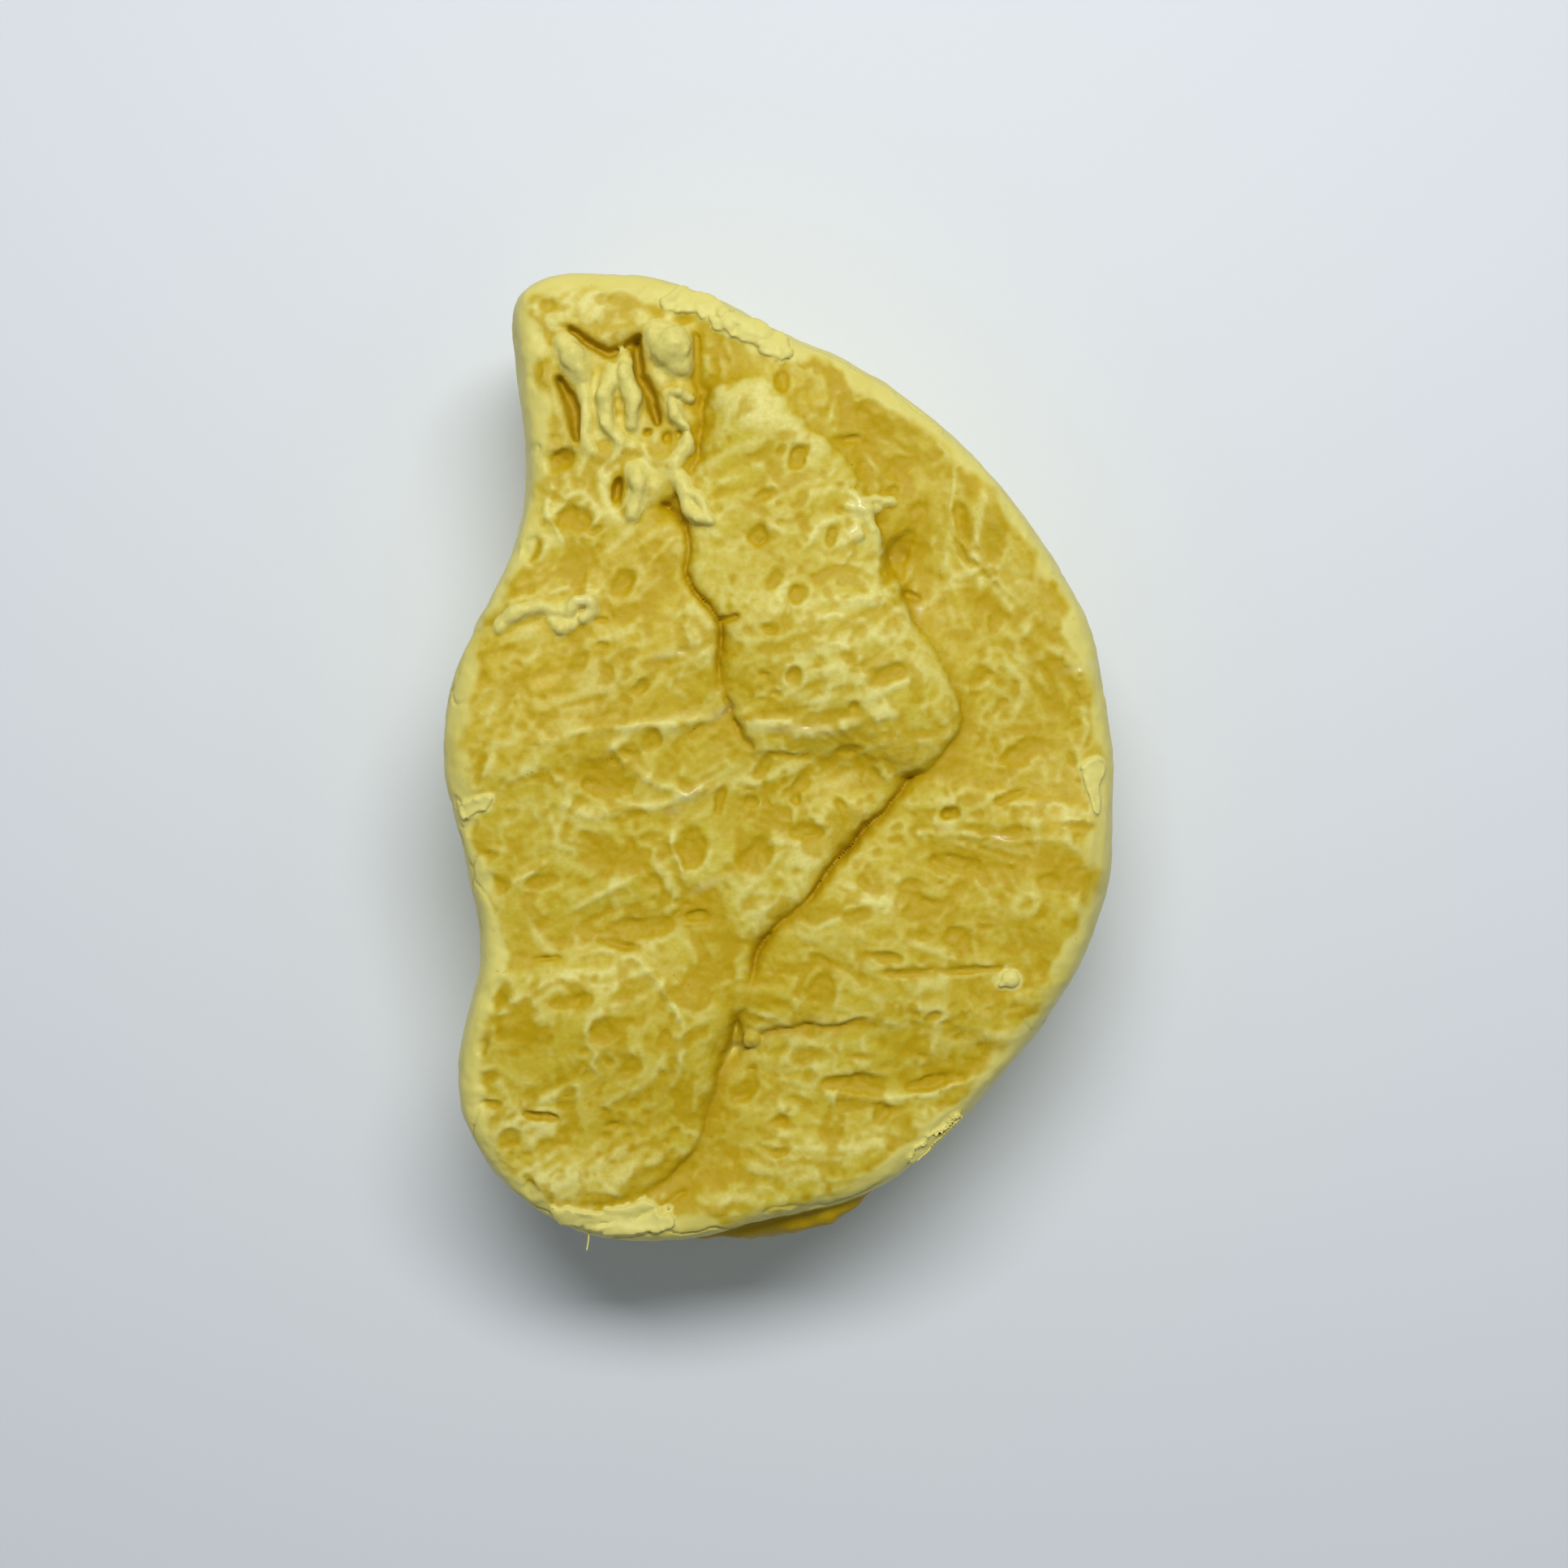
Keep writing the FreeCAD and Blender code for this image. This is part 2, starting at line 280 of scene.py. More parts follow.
# Creases wander a little from the CAD's smooth lines.
x, y = fine.x, fine.y
wander_x = 0.30 * layered(11, 2.6, 3, x, y)
wander_y = 0.30 * layered(21, 2.6, 3, x, y)
rim_depth = coarse.read(outline_coarse, x, y)
fold_depth = {n: coarse.read(f, x + wander_x, y + wander_y) for n, f in folds_coarse.items()}
stack = np.stack([fold_depth[n] for n in FOLDS])
fold_at = stack.argmax(0)


# ---- the torn face ----
# Each crease, by the folds that it parts: depth and width of its slit, depth and width of its rounded
# shoulders, how far the first fold stands above the second beside it, and how much painted shade (brown) its
# slit gets.
CREASES = {
    ("horn_fold", "right_fold"): (0.5, 0.60, 0.5, 1.6, -0.2, 0.0),
    ("horn_fold", "centre_fold"): (1.0, 0.60, 0.8, 1.2, 0.0, 0.25),
    ("horn_fold", "left_fold"): (0.0, 0.3, 0.2, 1.0, 0.2, 0.0),
    ("left_fold", "centre_fold"): (1.2, 0.24, 0.5, 0.8, 0.1, 0.8),
    ("centre_fold", "right_fold"): (0.6, 0.36, 0.3, 0.8, 0.4, 0.4),
    ("centre_fold", "middle_fold"): (0.0, 0.3, 0.0, 0.8, 0.4, 0.0),
    ("left_fold", "middle_fold"): (0.0, 0.3, 0.1, 0.8, 0.15, 0.0),
    ("right_fold", "fan_fold"): (0.0, 0.3, 0.1, 1.6, -0.3, 0.0),
    ("middle_fold", "fan_fold"): (1.5, 0.32, 0.9, 1.2, 0.1, 1.0),
    ("middle_fold", "lower_left_fold"): (0.0, 0.3, 0.1, 1.0, -0.3, 0.0),
    ("lower_left_fold", "fan_fold"): (1.7, 0.46, 1.3, 1.5, 0.0, 1.0),
    ("fan_fold", "bottom_fold"): (0.9, 0.26, 0.4, 1.0, 0.2, 0.8),
    ("lower_left_fold", "bottom_fold"): (0.6, 0.34, 1.1, 2.0, 0.3, 0.7),
    ("middle_fold", "right_fold"): (1.1, 0.30, 0.5, 1.0, 0.1, 0.9),
}

# Where a crease closes up: (x, y, radius, share of its depth that is left).
CLOSED = [
    (-6.0, 37.5, 3.0, 0.25), (-20.0, 17.5, 5.0, 0.4), (3.0, 31.5, 4.0, 0.30), (-0.5, 33.0, 3.0, 0.1),
    (-4.3, 6.2, 1.6, 0.35), (7.0, 24.5, 2.6, 0.25), (-2.6, -20.6, 2.4, 0.2), (11.0, -23.2, 4.0, 0.25),
    (14.0, -24.5, 6.0, 0.0), (22.0, -26.0, 8.0, 0.0), (-19.0, -39.0, 5.0, 0.1), (-13.0, -37.5, 4.0, 0.3),
    (-8.5, -34.0, 3.0, 0.5), (14.5, 10.0, 2.0, 0.35), (11.8, 15.5, 1.6, 0.5), (-2.8, 12.0, 1.2, 0.5),
    (1.6, -12.4, 1.4, 0.55), (-1.8, 1.2, 2.4, 0.2),
]

# Pits: (x, y, long radius, wide radius, turn in degrees, depth).
PORES = [
    # horn
    (-18.4, 26.1, 1.4, 1.1, 30, 1.7), (-13.8, 23.3, 1.4, 0.55, 88, 2.6), (-11.3, 28.2, 0.6, 0.5, 0, 1.5),
    (-9.7, 27.7, 0.7, 0.5, 80, 1.1), (-8.5, 28.1, 0.5, 0.35, 60, 1.0), (-9.8, 21.9, 0.45, 0.3, 0, 1.4),
    (-20.6, 33.4, 1.0, 0.5, 80, 0.7), (-20.8, 26.9, 0.5, 0.4, 0, 0.8), (-20.1, 39.1, 0.7, 0.5, 20, 0.6),
    (-22.2, 39.0, 0.7, 0.4, 80, 0.4), (-8.0, 37.9, 1.2, 0.5, 0, 0.6), (-5.7, 38.6, 0.9, 0.6, -20, 0.8),
    (-3.5, 37.0, 0.7, 0.4, 50, 0.6), (-21.4, 18.0, 1.4, 0.8, 80, 1.3), (-17.1, 20.6, 1.7, 1.4, 20, 1.0),
    (-15.6, 19.6, 0.9, 0.5, 40, 0.8), (-20.3, 29.7, 0.6, 0.5, 0, 0.4), (-14.9, 39.6, 1.2, 0.5, 15, 0.3),
    # left fold
    (-12.9, 15.4, 1.3, 1.05, 65, 1.0), (-11.6, 6.3, 1.3, 0.6, 42, 0.9), (-15.1, 9.6, 0.5, 0.28, 0, 0.5),
    (-23.8, 15.0, 0.5, 0.3, 60, 0.4), (-12.8, 8.9, 1.3, 0.5, 20, 0.4), (-14.9, 11.9, 0.6, 0.25, 0, 0.5),
    # centre fold
    (-1.4, 18.8, 1.1, 0.85, 60, 1.0), (4.6, 19.0, 1.1, 0.55, 80, 0.7), (-1.0, 22.8, 0.9, 0.5, 30, 0.6),
    (-0.2, 15.0, 0.9, 0.6, 70, 0.4), (1.7, 13.8, 1.0, 0.8, 60, 0.7), (6.0, 13.9, 0.6, 0.25, 0, 0.4),
    (-0.8, 10.8, 0.85, 0.5, -10, 0.8), (-1.2, 7.1, 0.7, 0.4, -15, 0.7), (1.3, 6.9, 0.85, 0.7, 70, 0.8),
    (9.5, 7.5, 1.8, 0.8, 15, 0.8), (6.7, 4.3, 0.55, 0.45, 0, 0.5), (0.0, 5.5, 0.5, 0.3, -30, 0.4),
    (1.9, 26.1, 1.3, 0.7, 60, 1.0), (0.3, 26.3, 0.7, 0.4, 60, 0.6), (6.4, 27.6, 1.5, 0.45, 10, 0.8),
    (0.3, 32.4, 1.0, 0.8, 80, 0.9), (2.2, 22.0, 0.8, 0.4, 60, 0.4), (7.0, 19.2, 0.6, 0.4, -40, 0.7),
    # right fold
    (15.2, 27.8, 0.6, 0.55, 0, 0.7), (10.8, 18.0, 2.3, 1.2, 72, 1.6), (11.9, 13.9, 0.9, 0.5, -30, 1.4),
    (15.9, 20.0, 2.1, 0.8, 112, 0.7), (18.8, 11.4, 1.2, 0.7, 80, 0.5), (20.6, 0.0, 2.2, 1.0, 15, 0.8),
    (20.6, -3.1, 1.4, 0.4, 20, 0.6), (10.0, 23.2, 0.7, 0.5, 20, 0.6), (12.6, 21.6, 1.4, 0.9, 60, 0.5),
    (24.6, 16.0, 0.8, 0.4, 60, 0.3), (7.8, 30.6, 1.3, 0.7, 10, 0.4), (17.6, 6.8, 1.2, 0.7, 40, 0.5),
    # middle fold
    (-15.5, -1.9, 2.6, 1.9, 12, 1.1), (-11.1, 1.1, 1.0, 0.9, 60, 0.8), (-13.1, 0.4, 0.6, 0.5, 0, 0.6),
    (-15.5, -8.5, 3.2, 2.0, -8, 0.7), (-11.3, -6.8, 0.9, 0.6, 20, 0.5), (-10.6, -10.7, 0.9, 0.7, 0, 0.6),
    (-7.2, -8.4, 1.7, 1.2, 75, 0.9), (-5.1, -4.3, 1.3, 0.45, 80, 0.8), (-2.0, -3.9, 0.6, 0.5, 0, 0.7),
    (-1.5, -8.1, 1.9, 1.3, 50, 1.0), (1.6, -10.0, 0.45, 0.4, 0, 0.5), (-7.2, -13.8, 1.1, 0.55, 0, 1.0),
    (-11.5, -14.5, 3.4, 1.0, 6, 0.5), (-1.0, -0.4, 1.1, 0.7, 60, 0.9), (0.7, 0.3, 1.1, 0.3, -5, 0.7),
    (5.8, 0.6, 1.2, 0.4, 5, 0.6), (2.1, -2.2, 1.3, 0.6, 40, 0.7), (8.3, -1.4, 1.0, 0.7, -50, 0.6),
    (5.6, -4.2, 1.3, 0.7, -60, 0.8), (2.9, -6.3, 1.7, 1.0, -10, 1.0), (1.5, -3.7, 0.5, 0.5, 0, 0.7),
    (-25.8, -1.6, 1.1, 0.6, 70, 0.7), (-26.2, -5.8, 0.7, 0.35, 60, 0.6), (-25.0, -8.5, 0.8, 0.5, 0, 0.5),
    (-24.6, -11.3, 1.4, 1.0, 0, 0.7), (-21.0, -11.1, 1.5, 0.7, 15, 0.6), (-19.5, -17.4, 1.3, 0.3, 5, 1.0),
    # lower left fold
    (-24.6, -20.8, 1.4, 1.1, 60, 1.1), (-18.3, -21.2, 1.9, 0.8, 12, 0.7), (-16.5, -21.0, 1.1, 0.9, 0, 0.5),
    (-15.3, -24.0, 1.3, 1.1, 0, 0.7), (-25.6, -25.0, 0.9, 0.5, 80, 0.8), (-24.8, -27.6, 1.2, 0.7, 10, 0.6),
    (-25.0, -29.9, 1.1, 0.4, 0, 1.0), (-20.6, -30.9, 1.9, 0.4, -8, 1.2), (-14.2, -31.8, 1.1, 0.5, 0, 0.7),
    (-23.2, -33.3, 1.0, 0.8, 30, 0.7), (-21.5, -37.1, 0.9, 0.6, -70, 0.8), (-18.0, -29.2, 0.8, 0.5, 20, 0.5),
    (-12.6, -27.0, 1.6, 0.9, 30, 0.4), (-9.6, -24.4, 0.9, 0.5, 70, 0.5),
    # fan fold
    (14.8, -5.0, 1.1, 0.7, 5, 1.3), (15.6, -9.2, 3.3, 0.9, -8, 0.7), (11.6, -11.1, 1.1, 0.5, -10, 0.5),
    (13.1, -12.5, 1.1, 0.4, -15, 0.5), (15.6, -15.2, 1.1, 0.7, 10, 0.6), (12.5, -15.5, 1.2, 0.5, -10, 0.5),
    (18.0, -14.8, 0.8, 0.4, 0, 0.4), (9.6, -17.1, 1.4, 0.5, -8, 0.9), (17.6, -18.3, 3.0, 0.35, 2, 0.7),
    (3.5, -19.6, 1.4, 1.3, 0, 0.6), (23.3, -10.9, 1.0, 0.6, -10, 0.5), (11.4, -18.7, 2.1, 0.4, 5, 0.6),
    (13.9, -22.3, 0.8, 0.35, 20, 0.6), (25.8, -6.0, 2.0, 0.35, -6, 0.4), (7.0, -13.6, 1.0, 0.6, 20, 0.4),
    # bottom fold
    (2.6, -26.2, 1.3, 0.9, 0, 0.7), (6.4, -28.2, 3.2, 0.85, -3, 1.0), (12.6, -28.4, 2.6, 0.6, 12, 1.0),
    (8.8, -31.1, 1.1, 0.8, 60, 0.7), (10.4, -30.5, 1.3, 0.5, 10, 0.6), (7.2, -26.0, 1.4, 0.5, 0, 0.5),
    (-2.7, -29.2, 1.7, 0.9, 60, 1.0), (0.5, -31.5, 0.75, 0.7, 0, 1.0), (0.3, -34.2, 1.0, 0.35, 15, 0.5),
    (-15.1, -40.4, 1.5, 0.35, 8, 0.8), (-11.0, -36.4, 3.6, 1.3, 28, 0.6), (12.6, -34.0, 0.5, 0.35, 20, 0.6),
]

# Slots in the horn, and short side creases: points, width, depth.
SLOTS_CUT = [
    ([(-18.0, 37.2), (-16.4, 36.0), (-14.7, 35.0), (-13.2, 35.5), (-11.8, 36.4)], 0.42, 2.4),
    ([(-12.1, 36.0), (-12.0, 33.2), (-10.8, 31.4), (-10.5, 29.2)], 0.55, 3.2),
    ([(-18.8, 32.8), (-17.7, 30.2), (-17.4, 27.8)], 0.60, 3.0),
    ([(-7.2, 36.5), (-6.9, 32.0)], 0.45, 0.8),
    ([(-5.0, 11.9), (-4.3, 11.9), (-3.4, 12.2)], 0.30, 1.2),
    ([(-3.8, 3.2), (-3.1, 1.8), (-2.2, 1.0)], 0.40, 1.0),
    ([(-12.0, -16.6), (-15.4, -15.9)], 0.35, 0.7),
    ([(-12.2, -40.2), (-8.0, -37.9)], 0.30, 0.5),
]

# Raised pale lines: points, width, height.
RIDGES = [
    ([(-4.4, 4.6), (-5.4, 3.5), (-8.0, 2.8), (-12.0, 2.6), (-16.8, 2.4), (-20.8, 1.1)], 0.45, 0.40),
    ([(-4.2, 4.6), (-2.2, 3.1), (1.7, 2.3), (5.9, 2.7), (9.4, 4.0)], 0.70, 0.45),
    ([(-14.4, 1.4), (-12.7, -0.9), (-10.8, -2.0), (-7.8, -3.3), (-5.0, -2.4)], 0.40, 0.45),
    ([(-19.2, -3.6), (-16.4, -5.0), (-12.4, -4.4), (-9.6, -3.9), (-7.4, -3.2)], 0.45, 0.40),
    ([(-9.2, -6.4), (-8.9, -8.1), (-8.2, -10.4)], 0.30, 0.45),
    ([(-23.3, -11.5), (-19.9, -8.9)], 0.30, 0.30),
    ([(-18.2, -13.4), (-12.1, -10.4)], 0.30, 0.28),
    ([(-18.3, -17.2), (-15.3, -16.7), (-12.1, -17.5), (-9.4, -20.6), (-8.3, -22.9), (-8.7, -27.3)],
     0.42, 0.50),
    ([(-13.6, -24.4), (-15.4, -25.4), (-16.0, -26.6), (-15.0, -27.5)], 0.22, 0.30),
    ([(17.9, 26.9), (15.4, 25.0), (14.9, 21.2), (15.7, 18.9), (17.9, 16.3), (20.2, 14.0)], 0.22, 0.35),
    ([(17.0, 19.4), (18.3, 16.9), (19.8, 14.6)], 0.20, 0.25),
    ([(1.7, 17.4), (3.6, 20.1), (5.2, 20.6)], 0.35, 0.28),
    ([(5.4, 16.0), (6.4, 17.9), (5.9, 19.9)], 0.32, 0.28),
    ([(-2.6, 17.6), (-0.5, 20.3), (0.6, 19.3)], 0.30, 0.25),
    ([(2.1, 8.8), (3.8, 9.9), (5.4, 9.8), (7.2, 8.6)], 0.30, 0.28),
    ([(3.6, 11.7), (4.9, 12.3), (6.9, 11.2)], 0.30, 0.22),
    ([(4.0, 13.6), (7.9, 13.6), (10.2, 13.2), (11.7, 11.8)], 0.45, 0.35),
    ([(-22.0, 13.8), (-17.0, 14.6), (-13.0, 12.9)], 0.35, 0.20),
    ([(4.5, -29.3), (9.0, -29.6), (13.0, -29.4), (17.0, -27.9)], 0.35, 0.35),
    ([(3.0, -23.2), (6.8, -22.4), (10.5, -23.0)], 0.35, 0.35),
    ([(12.0, -6.6), (16.0, -6.7), (20.0, -7.4), (25.0, -7.2)], 0.30, 0.28),
    ([(-20.1, 21.9), (-19.5, 20.4), (-18.6, 19.0)], 0.35, 0.45),
    ([(-9.2, 25.3), (-12.0, 26.7), (-15.5, 26.2)], 0.60, 0.50),
    ([(-18.9, 37.9), (-15.5, 36.4), (-12.5, 37.0), (-10.0, 38.2)], 0.55, 0.45),
]

# Swellings and hollows too broad to be pits: (x, y, long radius, wide radius, turn, height).
SWELLS = [
    (-9.0, 10.0, 6.5, 3.6, 20, 0.5), (5.0, 8.0, 8.0, 5.0, -10, 0.7), (0.0, 20.0, 6.5, 5.0, 40, 0.4),
    (0.0, 28.5, 5.0, 3.6, 30, 0.5), (18.6, 22.0, 3.0, 1.9, 70, 0.6), (-15.0, -23.0, 6.5, 5.5, 0, 0.6),
    (-18.0, 38.5, 5.0, 2.6, 0, 0.4), (8.0, -14.0, 6.0, 3.5, -40, 0.5), (-22.0, 5.0, 4.0, 5.0, 90, 0.3),
    (3.0, -35.0, 7.0, 3.5, 5, 0.6), (12.0, 15.5, 2.4, 4.5, 20, -0.9), (20.0, 4.0, 4.0, 7.0, 85, -0.5),
    (20.0, -9.0, 6.5, 2.6, -6, -0.4), (6.5, -1.6, 4.0, 2.0, -25, -0.6), (-12.0, -14.0, 7.0, 2.2, 5, -0.4),
    (-6.5, -36.0, 5.5, 2.0, 30, -0.5), (16.0, -27.0, 7.0, 2.0, 12, -0.4), (-8.0, -33.0, 4.0, 2.5, 40, -0.2),
]

# Wide patches of one tone: (x, y, radius, warm or pale, strength). Warm is towards orange.
TONES = [
    (-18.5, 38.5, 6.0, "warm", 0.7), (-19.0, 27.0, 5.0, "warm", 0.3), (-21.0, 9.0, 7.0, "warm", 0.9),
    (19.0, 20.0, 8.0, "warm", 0.6), (24.0, -4.0, 7.0, "warm", 0.8), (20.0, -22.0, 7.0, "warm", 0.6),
    (-16.0, -33.0, 9.0, "warm", 0.6), (6.0, 32.0, 6.0, "warm", 0.5), (-9.4, 36.0, 2.4, "pale", 0.9),
    (-13.0, 26.5, 4.0, "pale", 0.5), (-8.0, 9.0, 4.5, "pale", 0.4), (0.0, 17.0, 6.0, "pale", 0.35),
    (3.0, 6.0, 5.0, "pale", 0.35), (-17.0, -4.5, 5.0, "pale", 0.3), (7.0, -10.0, 4.0, "pale", 0.3),
    (4.0, -34.0, 3.2, "pale", 0.7), (1.5, -30.0, 1.6, "pale", 0.8), (14.3, 16.2, 1.8, "pale", 0.5),
    (-5.5, 23.6, 2.2, "pale", 0.4), (-2.0, -15.5, 3.5, "pale", 0.3), (-2.5, -20.8, 2.5, "pale", 0.35),
    (26.0, -20.0, 4.0, "pale", 0.5), (9.0, -24.2, 3.0, "pale", 0.4), (12.6, -7.2, 3.4, "pale", 0.4),
]

# Small glossy places, which the material also lightens as a painted highlight: (x, y, long radius, wide
# radius, turn).
SHINES = [
    (1.7, 2.4, 2.8, 0.35, -3), (-5.0, 3.8, 1.2, 0.4, 30), (-7.8, -3.3, 1.3, 0.35, 22),
    (-16.6, 13.2, 0.8, 0.6, 0), (-6.0, -11.0, 1.4, 0.35, 25), (-9.4, 8.9, 1.4, 0.3, 15),
    (6.9, 19.4, 0.5, 0.4, 0), (14.6, -6.1, 0.8, 0.2, 0), (7.0, 21.6, 0.7, 0.6, 0),
    (19.3, -7.0, 0.7, 0.25, -10), (8.9, -20.9, 0.5, 0.4, 0), (-9.0, -4.6, 0.7, 0.4, 0),
    (26.2, 7.8, 1.4, 0.3, 15), (12.3, 12.8, 0.3, 0.8, 0),
]

# Spongy places: (x, y, half width, half height, how spongy).
SPONGY = [
    (19.5, 4.0, 5.0, 8.0, 0.9), (4.0, -3.5, 6.5, 3.5, 0.9), (1.0, 14.0, 6.5, 9.0, 0.5),
    (-14.0, 38.0, 6.0, 4.0, 0.3),
]

# The way that each fold's fibres run, in degrees from +X.
HEADING = {"horn_fold": 80, "left_fold": 18, "centre_fold": 25, "right_fold": 118, "fan_fold": -6,
           "middle_fold": 28, "lower_left_fold": 20, "bottom_fold": 10}


def local(cx, cy, long_r, wide_r, turn, reach=1.9):
    """The window of the plan round a feature, and its coordinates there, in radii."""
    far = max(long_r, wide_r) * reach + STEP
    i0, i1 = np.searchsorted(fine.xs, (cx - far, cx + far))
    j0, j1 = np.searchsorted(fine.ys, (cy - far, cy + far))
    window = (slice(i0, i1), slice(j0, j1))
    dx, dy = fine.x[window] - cx, fine.y[window] - cy
    c, s = math.cos(math.radians(turn)), math.sin(math.radians(turn))
    return window, (dx * c + dy * s) / long_r, (dy * c - dx * s) / wide_r


def crease_opening():
    """Share of each crease's depth that is open, over the plan."""
    share = 0.85 + 0.25 * noise(31, 3.5, x, y)
    for cx, cy, radius, left in CLOSED:
        near = np.exp(-((x - cx) ** 2 + (y - cy) ** 2) / radius ** 2)
        share = share * (1 - near * (1 - left))
    return share


def fibre_flow():
    """The way the clay was drawn, as unit vectors over the plan: along each fold, and round each pit."""
    weight = np.exp(stack / 2.0)
    angle = sum(weight[n] * HEADING[name] for n, name in enumerate(FOLDS)) / weight.sum(0)
    angle = np.radians(angle + 26 * layered(41, 9.0, 2, x, y))
    u, v = np.cos(angle), np.sin(angle)
    for cx, cy, long_r, wide_r, turn, _ in PORES:
        window, a, b = local(cx, cy, long_r, wide_r, turn, 2.6)
        near = np.exp(-((np.hypot(a, b) - 1.2) / 0.7) ** 2)
        c, s = math.cos(math.radians(turn)), math.sin(math.radians(turn))
        ru, rv = -b * long_r, a * wide_r
        around_u, around_v = ru * c - rv * s, ru * s + rv * c
        size = np.hypot(around_u, around_v) + 1e-6
        flip = np.sign(around_u * u[window] + around_v * v[window] + 1e-9)
        u[window] += 2.0 * near * flip * around_u / size
        v[window] += 2.0 * near * flip * around_v / size
    size = np.hypot(u, v) + 1e-6
    return u / size, v / size


def drawn(field, u, v, length, stride=0.25):
    """A field smeared along the flow, with a mean of 0 and a spread of 1."""
    total = field.copy()
    for way in (1, -1):
        sx, sy = x.copy(), y.copy()
        for _ in range(int(length / stride)):
            du, dv = fine.read(u, sx, sy), fine.read(v, sx, sy)
            sx, sy = sx + way * stride * du, sy + way * stride * dv
            total = total + fine.read(field, sx, sy)
    total = total - total.mean()
    return total / total.std()


# The torn face's height, and how much of each tone the material shows at each place of the plan. The pit and
# deep tones hold painted shade, the pale tone some painted light, and gloss also a painted highlight.
height, pit_tone_and_shade, pale, painted_deep_shade, gloss_and_painted_highlight, warm = (np.zeros_like(x) for _ in range(6))


def mark(field, value, window=...):
    """Raises a field to a value, where the value is the greater."""
    field[window] = np.maximum(field[window], value)


def lay_folds():
    """The folds' tops, run together softly."""
    weight = np.exp(np.clip(stack, -16, 16) / 3.5)
    height[:] = sum(weight[n] * (TOPS[name] - 0.5) for n, name in enumerate(FOLDS)) / weight.sum(0)
    height[:] += 0.35 * layered(51, 11.0, 2, x, y)
    for cx, cy, long_r, wide_r, turn, rise in SWELLS:
        window, a, b = local(cx, cy, long_r, wide_r, turn, 2.2)
        height[window] += rise * np.exp(-(a * a + b * b))


def cut_creases():
    """Each crease has a narrow slit, rounded shoulders and a step across it."""
    share = crease_opening()
    ragged = 0.5 + 0.5 * ramp(noise(33, 1.4, x, y), -0.5, 0.4)
    for (first, second), (slit, slit_w, shoulder, shoulder_w, step, crease_shade) in CREASES.items():
        a, b = fold_depth[first], fold_depth[second]
        away = np.maximum(np.maximum(-a, -b), 0)
        line = np.exp(-(away / (1.15 * slit_w)) ** 1.1) * share
        height[:] -= 0.55 * slit * line
        height[:] -= 0.8 * shoulder * share * np.exp(-away / shoulder_w)
        side = np.tanh(a - b) * np.exp(-(away / 3.5) ** 2)
        height[:] += 0.5 * step * side
        strength = min(slit / 1.5, 1.0)
        # Painted shade: the slit is painted brown.
        mark(painted_deep_shade, crease_shade * line * (0.3 + 0.7 * share))
        # Painted shade: mustard beside the slit, and along the low side of a step.
        near = np.exp(-(away / (slit_w * 2.8)) ** 1.5) * share * strength
        mark(pit_tone_and_shade, 0.9 * near)
        low_side = ramp(np.where(step > 0, b - a, a - b), -0.2, 0.5) * min(abs(step) * 1.2, 1.0)
        mark(pit_tone_and_shade, 0.8 * low_side * np.exp(-(away / 0.9) ** 2) * ragged)


def cut_slots():
    """Each slot tapers to both ends."""
    for points, width, depth in SLOTS_CUT:
        away, along = line_distance(points, x + 0.5 * wander_x, y + 0.5 * wander_y)
        taper = np.sqrt(np.clip(np.sin(math.pi * (0.04 + 0.92 * along)), 0, 1))
        line = np.exp(-(away / (width * (0.4 + 0.6 * taper))) ** 2.4)
        height[:] -= 0.42 * depth * line
        # Painted shade: the slot is painted brown, and mustard round it.
        mark(painted_deep_shade, 0.6 * line * min(depth / 3.0, 1.0))
        mark(pit_tone_and_shade, np.exp(-(away / (width * 1.9)) ** 2) * min(depth / 1.5, 1.0))


def cut_pores():
    """Each pit has a ragged, lopsided edge, and a broken rim."""
    rough = 0.30 * layered(61, 1.5, 3, x, y)
    broken = ramp(noise(64, 1.8, x, y), -0.3, 0.5)
    for n, (cx, cy, long_r, wide_r, turn, depth) in enumerate(PORES):
        window, a, b = local(cx, cy, long_r, wide_r, turn)
        lean = math.pi * float(scatter(n * 613 + 29))
        bulk = min(wide_r, 1.0)
        r = (np.abs(a) ** 2.2 + np.abs(b) ** 2.2) ** (1 / 2.2) + rough[window] / (0.6 + 0.6 * bulk)
        r = r + 0.28 * (a * math.cos(lean) + b * math.sin(lean))
        bowl = ramp(r, 1.15, 0.35)
        floor = 0.8 + 0.2 * noise(65, 0.8, x[window], y[window])
        rim = np.exp(-((r - 1.3) / 0.26) ** 2) * broken[window]
        height[window] -= (0.35 * depth + 0.11 * depth ** 2) * bowl * floor
        height[window] += 0.03 * rim
        strength = min(0.55 + 0.6 * depth, 1.0)
        # Painted shade: the pit's floor is painted mustard, and a deep pit brown in its middle.
        mark(pit_tone_and_shade, strength * ramp(r, 1.14, 0.70) * floor, window)
        mark(pale, 0.40 * strength * rim, window)
        mark(painted_deep_shade, 0.8 * ramp(depth, 0.8, 2.4) * ramp(r, 0.9, 0.3), window)


def raise_ridges():
    """Each ridge tapers to both ends, and is pale in patches."""
    ragged = noise(66, 1.6, x, y)
    for points, width, rise in RIDGES:
        away, along = line_distance(points, x + 0.6 * wander_x, y + 0.6 * wander_y)
        taper = np.clip(np.sin(math.pi * (0.06 + 0.88 * along)), 0, 1) ** 0.5
        line = np.exp(-(away / width) ** 2) * taper
        height[:] += 0.6 * rise * line
        # The ridge is painted pale, partly as painted light on its crest.
        mark(pale, 0.75 * line * (0.7 + 0.6 * ragged))


def web(seed, size, width, bend_x, bend_y):
    """Thin lines that wander and join, about size apart."""
    field = layered(seed, size, 2, x + bend_x, y + bend_y)
    steep = np.hypot(*np.gradient(field, STEP)) + 0.15 / size
    patches = ramp(noise(seed + 5, size * 1.3, x, y), -0.45, 0.35)
    return ramp(np.abs(field) / steep, width, 0.0) * patches


